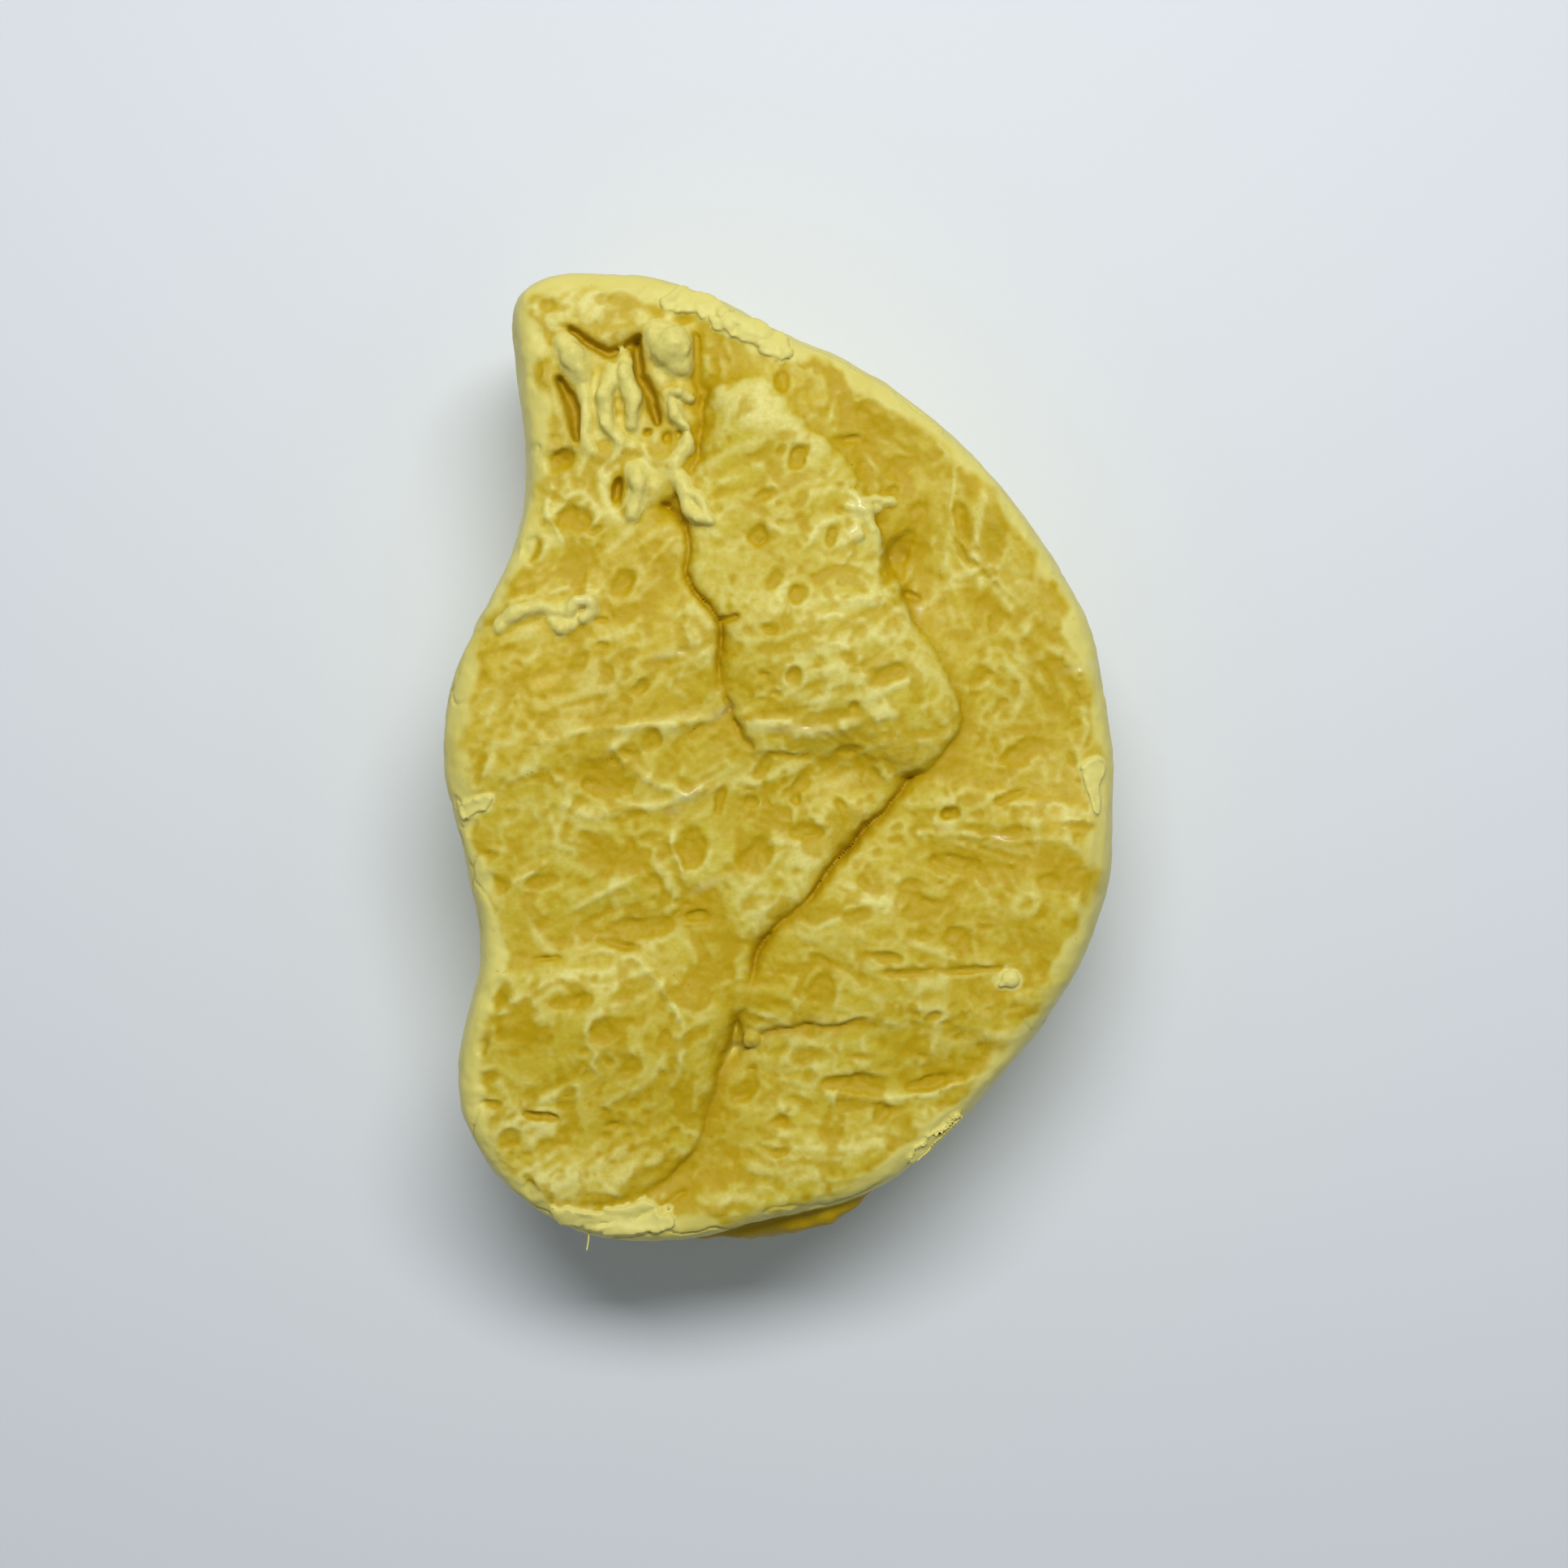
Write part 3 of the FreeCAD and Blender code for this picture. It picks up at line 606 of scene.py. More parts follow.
def weather():
    """The crumpled, drawn and spongy detail of torn clay."""
    u, v = fibre_flow()
    fibre = drawn(noise(71, 0.45, x, y), u, v, 1.6)
    strand = drawn(layered(72, 1.1, 2, x, y), u, v, 3.0)
    stain = drawn(layered(74, 3.0, 2, x, y), u, v, 4.5, 0.5)
    bend_x, bend_y = 1.2 * noise(81, 3.0, x, y), 1.2 * noise(82, 3.0, x, y)
    lines = [web(200, 6.0, 0.80, bend_x, bend_y), web(210, 3.2, 0.50, bend_x, bend_y),
             web(220, 1.7, 0.34, 0.6 * bend_x, 0.6 * bend_y)]
    hollow = ramp(layered(230, 2.6, 3, x + bend_x, y + bend_y), 0.32, 0.75)
    small = ramp(layered(240, 1.2, 2, x + 0.5 * bend_x, y), 0.42, 0.80)
    away, name = cells_2d(91, 1.35, x + 0.6 * bend_x, y + 0.6 * bend_y)
    sponge = 0.42 + 0.5 * ramp(noise(92, 7.0, x, y), 0.0, 0.7)
    for cx, cy, rx, ry, amount in SPONGY:
        sponge = np.maximum(sponge, amount * np.exp(-((x - cx) / rx) ** 2 - ((y - cy) / ry) ** 2))
    holes = ramp(away + 0.12 * (name + 1) + 0.2 * noise(96, 0.7, x, y), 0.46, 0.20) * (name > -0.2)
    holes = holes * sponge
    quiet = 0.45 + 0.55 * ramp(noise(93, 8.0, x, y), -0.3, 0.5)
    height[:] += 0.07 * lines[0] + 0.04 * lines[1] + 0.02 * lines[2]
    height[:] -= 0.10 * hollow + 0.04 * small * quiet + 0.11 * holes
    height[:] += 0.020 * fibre * quiet + 0.045 * strand * quiet + 0.02 * layered(94, 0.8, 2, x, y)
    # Painted shade: holes and hollows are painted mustard. Raised web lines are painted pale, partly as
    # painted light on their crests; the drawn streaks are the clay's own tone.
    mark(pit_tone_and_shade, 0.90 * holes)
    mark(pit_tone_and_shade, np.maximum(0.75 * hollow, 0.70 * small))
    mark(pale, np.maximum(0.82 * lines[0], np.maximum(0.64 * lines[1], 0.46 * lines[2])))
    streak = 0.30 * strand + 0.34 * fibre + 0.32 * stain
    mark(pale, 0.8 * quiet * ramp(streak, 0.20, 1.1))
    mark(pit_tone_and_shade, 0.9 * quiet * ramp(-streak, 0.20, 1.1))


# How warm and how pale each fold is as a whole. Below zero is deeper in tone.
FOLD_TONE = {"horn_fold": (0.15, 0.62), "left_fold": (0.55, -0.08), "centre_fold": (0.10, -0.05),
             "right_fold": (0.32, -0.16), "fan_fold": (0.2, -0.36), "middle_fold": (0.05, -0.08),
             "lower_left_fold": (0.15, -0.12), "bottom_fold": (0.1, -0.04)}


def tint():
    """Painted shade and light: hollows are painted deep yellow and crests pale from the height's curvature,
    beyond what each feature says for itself.
    """
    tone = np.full_like(height, -0.16)
    # Painted shade in hollows and painted light on crests: the height less its blur.
    for radius, gain in ((0.5, 3.2), (1.4, 1.8), (3.0, 0.6)):
        tone += gain * (height - fine.blur(height, radius))
    tone += 0.22 * layered(251, 6.0, 2, x, y) + 0.16 * layered(254, 1.8, 3, x, y)
    share = np.exp(np.clip(stack, -16, 16) / 3.0)
    share /= share.sum(0)
    for n, name in enumerate(FOLDS):
        fold_warm, fold_pale = FOLD_TONE[name]
        warm[:] += fold_warm * share[n]
        tone += fold_pale * share[n]
    for cx, cy, radius, kind, strength in TONES:
        near = strength * np.exp(-((x - cx) ** 2 + (y - cy) ** 2) / radius ** 2)
        near = near * (0.75 + 0.5 * noise(101, 1.6, x, y))
        if kind == "warm":
            mark(warm, near)
        else:
            tone += 0.6 * near
    marked = np.clip(pit_tone_and_shade, 0, 1)
    light = np.clip(0.75 * pale * (1 - 0.5 * painted_deep_shade) + np.tanh(np.clip(tone, 0, None)), 0, 1)
    pit_tone_and_shade[:] = np.clip(0.95 * marked + np.tanh(np.clip(-tone, 0, None)) * (1 - 0.7 * pale), 0, 1)
    pale[:] = light * (1 - 0.85 * marked)
    # Glossy spots, which the material also lightens as a painted highlight.
    for cx, cy, long_r, wide_r, turn in SHINES:
        window, a, b = local(cx, cy, long_r, wide_r, turn, 2.4)
        mark(gloss_and_painted_highlight, np.exp(-(a * a + b * b)), window)


lay_folds()
raise_ridges()
cut_pores()
cut_slots()
weather()
cut_creases()
tint()


# ---- the sculpture: one field of distances, and a label for each place in it ----
def smooth_max(a, b, radius):
    """The greater of two fields, rounded where they cross."""
    near = np.clip(radius - np.abs(a - b), 0, None)
    return np.maximum(a, b) + near * near / (4 * radius)


def smooth_min(a, b, radius):
    return -smooth_max(-a, -b, radius)


def capsule_chain(points, radii, x, y, z):
    """Distance from a round strand that tapers from point to point."""
    nearest = np.full(np.shape(x), 1e9)
    for (p0, p1), (r0, r1) in zip(zip(points, points[1:]), zip(radii, radii[1:])):
        d = np.subtract(p1, p0)
        u, v, w = x - p0[0], y - p0[1], z - p0[2]
        t = np.clip((u * d[0] + v * d[1] + w * d[2]) / (d @ d), 0, 1)
        away = np.sqrt((u - t * d[0]) ** 2 + (v - t * d[1]) ** 2 + (w - t * d[2]) ** 2)
        nearest = np.minimum(nearest, away - (r0 + t * (r1 - r0)))
    return nearest


broad_height = fine.blur(height, 0.8)


def on_face(points, radii):
    """A strand through points of the plan, each with its lift above the torn face."""
    placed = []
    for px, py, lift in points:
        base = float(fine.read(broad_height, np.array(px), np.array(py)))
        placed.append((px, py, base + 0.75 * lift - 0.1))
    return placed, radii


# Each shred's strands: points of the plan with their lift above the face, and radii.
STRAND_PLAN = {
    "horn_shreds": [
        ([(-10.3, 36.4, 0.1), (-9.2, 35.6, 0.5), (-8.7, 34.2, 0.1)], [1.3, 1.75, 1.2]),
        ([(-18.6, 36.0, 0.0), (-17.6, 34.6, 0.5), (-16.9, 33.0, 0.1)], [0.7, 1.2, 0.8]),
        ([(-16.9, 33.0, 0.2), (-16.5, 30.4, 0.5), (-16.6, 28.0, 0.4), (-16.0, 26.6, 0.0)],
         [0.5, 0.5, 0.45, 0.5]),
        ([(-13.4, 35.2, 0.0), (-13.2, 33.4, 0.9), (-12.5, 31.0, 1.1), (-12.7, 28.8, 0.5)],
         [0.4, 0.75, 0.7, 0.6]),
        ([(-14.2, 33.6, 0.4), (-15.0, 31.2, 0.8), (-14.7, 29.0, 0.5), (-13.6, 27.4, 0.2)],
         [0.5, 0.75, 0.8, 0.7]),
        ([(-9.6, 31.6, 0.3), (-8.6, 31.6, 0.9), (-7.5, 31.0, 0.6)], [0.5, 0.5, 0.2]),
        ([(-9.2, 31.0, 0.3), (-8.7, 29.6, 0.8), (-7.7, 28.4, 0.8), (-7.9, 26.8, 0.5), (-8.8, 25.6, 0.2)],
         [0.6, 0.6, 0.45, 0.5, 0.5]),
        ([(-12.2, 24.9, 0.2), (-12.0, 23.2, 0.7), (-12.6, 21.0, 0.3)], [0.7, 0.65, 0.4]),
    ],
    "crease_curl": [
        ([(-8.6, 24.4, 0.2), (-8.0, 22.8, 0.9), (-7.8, 21.4, 0.9), (-6.8, 20.6, 0.9), (-5.7, 20.3, 0.7)],
         [0.6, 0.65, 0.5, 0.45, 0.45]),
        ([(-8.0, 22.8, 0.9), (-6.8, 22.6, 0.8), (-6.2, 21.6, 0.8), (-6.1, 20.6, 0.8)],
         [0.5, 0.4, 0.35, 0.4]),
    ],
    "left_curl": [
        ([(-24.0, 11.4, 0.1), (-22.6, 12.5, 0.4), (-20.4, 13.0, 0.5), (-18.8, 12.6, 0.3)],
         [0.35, 0.6, 0.6, 0.5]),
        ([(-18.0, 12.4, 0.4), (-17.4, 13.4, 0.7), (-16.2, 13.6, 0.7), (-15.8, 12.6, 0.5), (-16.8, 12.0, 0.5)],
         [0.5, 0.45, 0.45, 0.45, 0.4]),
        ([(-19.4, 11.9, 0.2), (-18.6, 11.3, 0.5), (-17.8, 11.6, 0.3)], [0.35, 0.45, 0.35]),
    ],
    "centre_shreds": [
        ([(6.4, 22.8, 0.1), (7.2, 22.1, 0.5), (8.3, 22.4, 0.4), (9.9, 22.1, 0.2)],
         [0.3, 0.35, 0.3, 0.18]),
        ([(6.2, 21.7, 0.1), (7.6, 21.3, 0.4), (8.7, 21.5, 0.2)], [0.3, 0.4, 0.3]),
        ([(7.7, 21.2, 0.3), (8.3, 19.8, 0.5), (8.5, 18.2, 0.1)], [0.35, 0.4, 0.3]),
        ([(6.8, 19.8, 0.1), (7.1, 19.2, 0.4)], [0.3, 0.35]),
    ],
}
STRANDS = {name: [on_face(*strand) for strand in plan] for name, plan in STRAND_PLAN.items()}


class Sculpture:
    """Distances and labels at the corners of a grid that is finer above FACE_LOW_Z."""

    def __init__(self):
        top = CAD_BOX[1].z / MM + MARGIN
        low = np.arange(-LOW_STEP / 2, FACE_LOW_Z, LOW_STEP)
        self.zs = np.concatenate([low, np.arange(low[-1] + LOW_STEP, top, STEP)])
        shape = (len(fine.xs), len(fine.ys), len(self.zs))
        self.far = np.empty(shape, np.float32)
        self.label = np.zeros(shape, np.int8)

    def fill(self):
        """The lump under the torn face, as skin, core and folds."""
        gx, gy = np.gradient(height, STEP)
        slope = np.sqrt(1 + np.clip(gx * gx + gy * gy, 0, 9))
        rag = SKIN * (0.80 + 0.45 * layered(111, 4.0, 3, x, y))
        for k, z in enumerate(self.zs):
            side = wall_inset(z) - rim_depth
            far = smooth_max((z - height) / slope, side, 1.6)
            far = np.maximum(far, -z)
            thick = np.where(z > RIM_Z - 3, rag, SKIN)
            label = np.where(z < CORE_TOP_Z, LABELS.index("core"), fold_at + LABELS.index(FOLDS[0]))
            label = np.where((side > -thick) | (z < SKIN), LABELS.index("outer_skin"), label)
            self.far[:, :, k] = far
            self.label[:, :, k] = np.where(far < 0, label, 0)

    def window(self, low, high):
        """The part of the grid inside a box."""
        i = np.searchsorted(fine.xs, (low[0], high[0]))
        j = np.searchsorted(fine.ys, (low[1], high[1]))
        k = np.searchsorted(self.zs, (low[2], high[2]))
        return tuple(slice(a, b) for a, b in (i, j, k))

    def join(self, name, low, high, distance, blend):
        """Adds a solid, given by its distance function, and labels what it holds."""
        at = self.window(low, high)
        gx, gy, gz = np.meshgrid(fine.xs[at[0]], fine.ys[at[1]], self.zs[at[2]], indexing="ij")
        old = self.far[at]
        solid = distance(gx, gy, gz, old)
        new = smooth_min(old, solid, blend)
        label = np.where((new < 0) & (solid < old + 0.05), LABELS.index(name), self.label[at])
        label = np.where((new < 0) & (label == 0), LABELS.index(name), label)
        self.label[at] = label
        self.far[at] = new


TRIM = {}  # each small piece's distance function and box


def shred_distance(strands):
    """Rough strands, run together."""
    def distance(px, py, pz, old):
        rough = 0.26 * noise(121, 1.5, px, py, pz) + 0.10 * noise(122, 0.7, px, py, pz)
        nearest = None
        for points, radii in strands:
            away = capsule_chain(points, radii, px, py, pz)
            nearest = away if nearest is None else smooth_min(nearest, away, 0.25)
        return nearest + rough
    return distance


def plate_distance(node):
    """A peeled flake that follows the face, with a ragged edge."""
    loops = level_loops(node, box_mm(node)[0][2] + 0.25, 0.3)
    wide = Map(0.3)
    plan = np.full(wide.x.shape, -9.0)
    for loop in loops:
        plan = np.maximum(plan, depth_inside(loop, wide.x, wide.y))
    rag = 0.5 if "flap" in node else 0.22

    def distance(px, py, pz, old):
        rag_x = rag * layered(131, 1.3, 3, px, py)
        rag_y = rag * layered(134, 1.3, 3, px, py)
        inward = wide.read(plan, px + rag_x, py + rag_y) + 0.25
        lift = 0.16 + 0.22 * ramp(inward, 1.2, 0.1)
        sheet = np.maximum(old - lift, -(old + 0.35))
        return smooth_max(sheet, -inward, 0.10)
    return distance


def lump_distance(node, rough, size):
    """A rough ball that sits on the face."""
    low, high = box_mm(node)
    middle, radii = (low + high) / 2, (high - low) / 2
    middle[2] = float(fine.read(broad_height, middle[0], middle[1])) + 0.45 * radii[2]

    def distance(px, py, pz, old):
        away = np.sqrt(((px - middle[0]) / radii[0]) ** 2 + ((py - middle[1]) / radii[1]) ** 2
                       + ((pz - middle[2]) / radii[2]) ** 2)
        return (away - 1) * radii.min() + rough * noise(141, size, px, py, pz)
    return distance


def lip_distance():
    """A rough bulge along the lower edge."""
    points = [(-9.6, -41.4, 18.8), (-5.0, -41.7, 18.6), (-1.0, -41.3, 17.8), (1.2, -40.7, 18.2),
              (4.2, -39.7, 19.4), (8.0, -37.8, 20.2)]
    radii = [0.8, 1.5, 2.0, 2.1, 1.6, 0.7]

    def distance(px, py, pz, old):
        return capsule_chain(points, radii, px, py, pz) + 0.28 * layered(151, 2.4, 2, px, py, pz)
    return distance


def join_trim(sculpture):
    reach = 1.2
    for name, strands in STRANDS.items():
        ends = np.array([p for points, _ in strands for p in points])
        low, high = ends.min(0) - 2 * reach, ends.max(0) + 2 * reach
        add_trim(sculpture, name, low, high, shred_distance(strands), 0.7)
    for name in PLATES:
        low, high = box_mm(name)
        add_trim(sculpture, name, low - reach, high + reach, plate_distance(name), 0.15)
    for name, rough, size in (("trapped_crumb", 0.12, 0.7), ("loose_crumb", 0.15, 0.6)):
        low, high = box_mm(name)
        low[2] -= 3.0
        add_trim(sculpture, name, low - reach, high + reach, lump_distance(name, rough, size), 0.12)
    low, high = box_mm("squeezed_lip")
    add_trim(sculpture, "squeezed_lip", low - 2 * reach, high + 2 * reach, lip_distance(), 0.5)


def add_trim(sculpture, name, low, high, distance, blend):
    TRIM[name] = (low, high, distance)
    sculpture.join(name, low, high, distance, blend)


# ---- from the field to meshes ----
def surface(sculpture):
    """Points, each with its outward way, its field and whether it is outside, and four-sided faces
    with the label on each side of them."""
    label, far = sculpture.label, sculpture.far
    whole = tuple(n - 1 for n in label.shape)
    mixed = np.zeros(whole, bool)
    first = label[:-1, :-1, :-1]
    for corner in itertools.product((0, 1), repeat=3):
        mixed |= label[tuple(slice(c, c + n) for c, n in zip(corner, whole))] != first
    cells = np.argwhere(mixed)
    number = np.full(whole, -1, np.int32)
    number[tuple(cells.T)] = np.arange(len(cells))
    grid = (fine.xs, fine.ys, sculpture.zs)
    sums = {True: np.zeros((len(cells), 3)), False: np.zeros((len(cells), 3))}
    counts = {True: np.zeros(len(cells)), False: np.zeros(len(cells))}
    for axis in range(3):
        for others in itertools.product((0, 1), repeat=2):
            near = np.insert(others, axis, 0)
            a, b = cells + near, cells + np.insert(others, axis, 1)
            la, lb = label[tuple(a.T)], label[tuple(b.T)]
            fa, fb = far[tuple(a.T)].astype(float), far[tuple(b.T)].astype(float)
            for outer in (True, False):
                hit = (la != lb) & (((la == 0) | (lb == 0)) == outer)
                share = np.full(len(cells), 0.5)
                if outer:
                    share = np.clip(fa / np.where(fa == fb, 1, fa - fb), 0.02, 0.98)
                place = np.stack([grid[n][a[:, n]] for n in range(3)], 1)
                place[:, axis] += share * (grid[axis][b[:, axis]] - grid[axis][a[:, axis]])
                sums[outer] += place * hit[:, None]
                counts[outer] += hit
    slope, level = np.zeros((len(cells), 3)), np.zeros(len(cells))
    for corner in itertools.product((0, 1), repeat=3):
        value = far[tuple((cells + corner).T)].astype(float)
        level += value / 8
        slope += value[:, None] * (np.array(corner) * 2 - 1)
    slope /= np.stack([grid[n][cells[:, n] + 1] - grid[n][cells[:, n]] for n in range(3)], 1)
    slope /= np.linalg.norm(slope, axis=1, keepdims=True) + 1e-12
    outer = counts[True] > 0
    points = np.where(outer[:, None], sums[True] / np.maximum(counts[True], 1)[:, None],
                      sums[False] / np.maximum(counts[False], 1)[:, None])
    quads, sides = [], []
    for axis in range(3):
        back = tuple(slice(0, -1) if n == axis else slice(None) for n in range(3))
        ahead = tuple(slice(1, None) if n == axis else slice(None) for n in range(3))
        edges = np.argwhere(label[back] != label[ahead])
        p, q = [n for n in range(3) if n != axis]
        if axis == 1:
            p, q = q, p
        ring = []
        for dp, dq in ((0, 0), (-1, 0), (-1, -1), (0, -1)):
            cell = edges.copy()
            cell[:, p] += dp
            cell[:, q] += dq
            ring.append(number[tuple(cell.T)])
        step = np.zeros(3, int)
        step[axis] = 1
        quads.append(np.stack(ring, 1))
        sides.append(np.stack([label[tuple(edges.T)], label[tuple((edges + step).T)]], 1))
    return points, slope, level, outer, np.concatenate(quads), np.concatenate(sides)


def thin_out(points, keep, group, sizes):
    """Merges the points that needn't be kept, group by group, within cubes of each group's size.
    Returns the points that are left, and each old point's number among them."""
    key = np.zeros((len(points), 4), np.int64)
    for n, size in sizes.items():
        here = (group == n) & ~keep
        key[here, :3] = np.floor(points[here] / size)
        key[here, 3] = n
    key[keep, 0] = np.arange(keep.sum())
    key[keep, 3] = -1
    _, merged = np.unique(key, axis=0, return_inverse=True)
    merged = merged.ravel()
    count = np.bincount(merged)
    moved = np.stack([np.bincount(merged, points[:, n]) / count for n in range(3)], 1)
    return moved, merged


def vertex_normals(points, quads):
    """Normals of the outer surface, from the faces round each point."""
    a, b, c, d = (points[quads[:, n]] for n in range(4))
    face = np.cross(c - a, d - b)
    normal = np.zeros_like(points)
    for corner in range(4):
        for n in range(3):
            normal[:, n] += np.bincount(quads[:, corner], face[:, n], len(points))
    return normal / (np.linalg.norm(normal, axis=1, keepdims=True) + 1e-12)


def wrinkles(points):
    """Thin creases that run round the handled sides, 0 to 1."""
    px, py, pz = points.T
    field = layered(166, 10.0, 3, px, py, pz * 1.9)
    return ramp(np.abs(field), 0.055, 0.0) * ramp(noise(169, 6.0, px, py, pz), -0.1, 0.4)


def depth_in_wall(points):
    """How far each point lies in from the side wall."""
    px, py, pz = points.T
    return coarse.read(outline_coarse, px, py) - wall_inset(pz)


def wear(points, ways, level):
    """Moves points outward or inward: dents and scuffs on the skin, grain on the torn face."""
    px, py, pz = points.T
    torn = ramp(depth_in_wall(points), 0.2, 1.3) * ramp(pz, 15.0, 18.0)
    side = (1 - torn) * ramp(pz, 0.3, 3.0)
    dent = 0.42 * noise(161, 15.0, px, py, pz) + 0.20 * noise(162, 6.0, px, py, pz * 1.4)
    dent += 0.09 * layered(163, 2.4, 3, px, py, pz) + 0.03 * noise(164, 0.9, px, py, pz)
    dent -= 0.22 * wrinkles(points)
    grain = 0.035 * layered(165, 0.7, 2, px, py, pz)
    shift = (side * dent + torn * grain) * ramp(level, -3.0, -1.0)
    return points + ways * shift[:, None]


# What each small piece shows of pit, pale, deep and skin. The squeezed lip's full pit and some deep are
# partly painted shade, as it lies under the rim.
TRIM_TONES = {"squeezed_lip": (1.0, 0.0, 0.3, 0.0), "trapped_crumb": (0.5, 0.3, 0.1, 0.0),
              "loose_crumb": (0.0, 1.0, 0.0, 0.8)}
TRIM_TONES.update(dict.fromkeys(PLATES, (0.0, 0.86, 0.0, 0.85)))
TRIM_TONES.update(dict.fromkeys(SHREDS, (0.04, 0.86, 0.0, 0.12)))


def face_colours(points):
    """What the materials read at each point: pit (its tone and painted shade), pale (its tone and painted
    light on crests) and deep (painted shade), then skin, warm and gloss (which also carries a painted
    highlight).
    """
    px, py, pz = points.T
    edge = np.maximum(0.9 + 0.75 * layered(171, 3.6, 3, px, py), 0.15)
    skin = np.maximum(ramp(depth_in_wall(points), edge + 0.45, edge - 0.30), ramp(pz, 22.6, 21.2))
    values = [fine.read(f, px, py) * (1 - skin) for f in (pit_tone_and_shade, pale, painted_deep_shade)]
    mottle = layered(172, 5.0, 3, px, py, pz)
    wrinkled = wrinkles(points) * ramp(pz, 23.5, 22.0)
    values[0] = values[0] + skin * (0.30 * ramp(mottle, 0.1, 1.0) + 0.35 * wrinkled)
    values[1] = values[1] + skin * 0.30 * ramp(-mottle, 0.1, 1.0)
    values += [skin, fine.read(warm, px, py), fine.read(gloss_and_painted_highlight, px, py)]
    for name, (low, high, distance) in TRIM.items():
        near = np.all((points > low) & (points < high), axis=1)
        mine = ramp(distance(px[near], py[near], pz[near], 0.0), 0.30, 0.05)
        for n, value in enumerate(TRIM_TONES[name]):
            values[n][near] = values[n][near] * (1 - mine) + value * mine
    return np.clip(np.stack(values, 1), 0, 1)


SIDE_CUBE = 0.55  # points of the lower sides are merged within cubes of this size
WALL_CUBE = 1.1  # and those of the walls between pieces within these


def build_pieces(sculpture):
    """One closed mesh for each piece. Neighbours share the points of the wall between them."""
    points, ways, level, outer, quads, sides = surface(sculpture)
    outside = (sides == 0).any(1)
    outer_quads = np.where((sides[outside, :1] == 0), quads[outside][:, ::-1], quads[outside])
    points = wear(points, ways, level)
    group = np.where(outer, 0, 1)
    on_top = (depth_in_wall(points) > 1.0) & (points[:, 2] > 2.0)
    keep = outer & ((points[:, 2] > RIM_Z - 4.0) | on_top)
    keep |= ~outer & (level > -0.9) & (points[:, 2] > RIM_Z - 5.0)
    moved, merged = thin_out(points, keep, group, {0: SIDE_CUBE, 1: WALL_CUBE})
    quads = merged[quads]
    normals = vertex_normals(moved, merged[outer_quads])
    colours = face_colours(moved)
    pieces = {}
    for n, name in enumerate(LABELS[1:], 1):
        front, back = sides[:, 0] == n, sides[:, 1] == n
        faces = np.concatenate([quads[front], quads[back][:, ::-1]])
        skinned = np.concatenate([outside[front], outside[back]])
        pieces[name] = make_piece(name, moved, faces, skinned, normals, colours)
    return pieces


def tidy_faces(faces, flags):
    """Drops repeated corners and the faces that they flatten. Returns the four-sided faces and the
    triangles, each with its flags."""
    same = [faces[:, n] == faces[:, (n + 1) % 4] for n in range(4)]
    repeats = sum(s.astype(int) for s in same)
    crossed = (faces[:, 0] == faces[:, 2]) | (faces[:, 1] == faces[:, 3])
    four = (repeats == 0) & ~crossed
    quads, quad_flags = faces[four], flags[four]
    three = (repeats == 1) & ~crossed
    corners = faces[three]
    drop = np.stack([s[three] for s in same], 1).argmax(1)
    order = (drop[:, None] + np.arange(1, 4)) % 4
    triangles, triangle_flags = np.take_along_axis(corners, order, 1), flags[three]
    key = np.sort(triangles, axis=1)
    _, inverse, count = np.unique(key, axis=0, return_inverse=True, return_counts=True)
    single = count[inverse.ravel()] == 1
    return quads, quad_flags, triangles[single], triangle_flags[single]


def make_piece(name, points, faces, skinned, normals, colours):
    """The mesh object of one piece. Skinned faces are those on the lump's outside."""
    quads, quad_flags, triangles, triangle_flags = tidy_faces(faces, skinned)
    used, corner = np.unique(np.concatenate([quads.ravel(), triangles.ravel()]), return_inverse=True)
    mesh = bpy.data.meshes.new(name + "_clay")
    mesh.vertices.add(len(used))
    mesh.vertices.foreach_set("co", (points[used] * MM).astype(np.float32).ravel())
    mesh.loops.add(len(corner))
    mesh.loops.foreach_set("vertex_index", corner.astype(np.int32).ravel())
    sizes = np.concatenate([np.full(len(quads), 4), np.full(len(triangles), 3)])
    mesh.polygons.add(len(sizes))
    starts = np.concatenate([[0], np.cumsum(sizes)[:-1]])
    mesh.polygons.foreach_set("loop_start", starts.astype(np.int32))
    mesh.update(calc_edges=True)
    for layer, columns in (("clay_a", (0, 1, 2)), ("clay_b", (3, 4, 5))):
        attribute = mesh.attributes.new(layer, "FLOAT_COLOR", "POINT")
        rgba = np.ones((len(used), 4), np.float32)
        rgba[:, :3] = colours[used][:, columns]
        attribute.data.foreach_set("color", rgba.ravel())
    normal = mesh.attributes.new("whole_normal", "FLOAT_VECTOR", "POINT")
    normal.data.foreach_set("vector", normals[used].astype(np.float32).ravel())
    outer = mesh.attributes.new("outer", "BOOLEAN", "FACE")
    outer.data.foreach_set("value", np.concatenate([quad_flags, triangle_flags]))
    mesh.validate()
    set_normals(mesh)
    piece = bpy.data.objects.new(name + "_clay", mesh)
    bpy.context.scene.collection.objects.link(piece)
    return piece


def set_normals(mesh):
    """The outer faces take the whole lump's normals, so that no seam shows between pieces."""
    corner = gather(mesh.loops, "vertex_index", 1, np.int32)
    sizes = gather(mesh.polygons, "loop_total", 1, np.int32)
    outer = gather(mesh.attributes["outer"].data, "value", 1, bool)
    mesh.polygons.foreach_set("use_smooth", outer)
    whole = gather(mesh.attributes["whole_normal"].data, "vector", 3)
    wall = np.repeat(gather(mesh.polygons, "normal", 3), sizes, axis=0)
    outer = np.repeat(outer, sizes)
    normals = np.where(outer[:, None], whole[corner], wall)
    mesh.normals_split_custom_set(normals.tolist())
    mesh.attributes.remove(mesh.attributes["whole_normal"])
    mesh.attributes.remove(mesh.attributes["outer"])


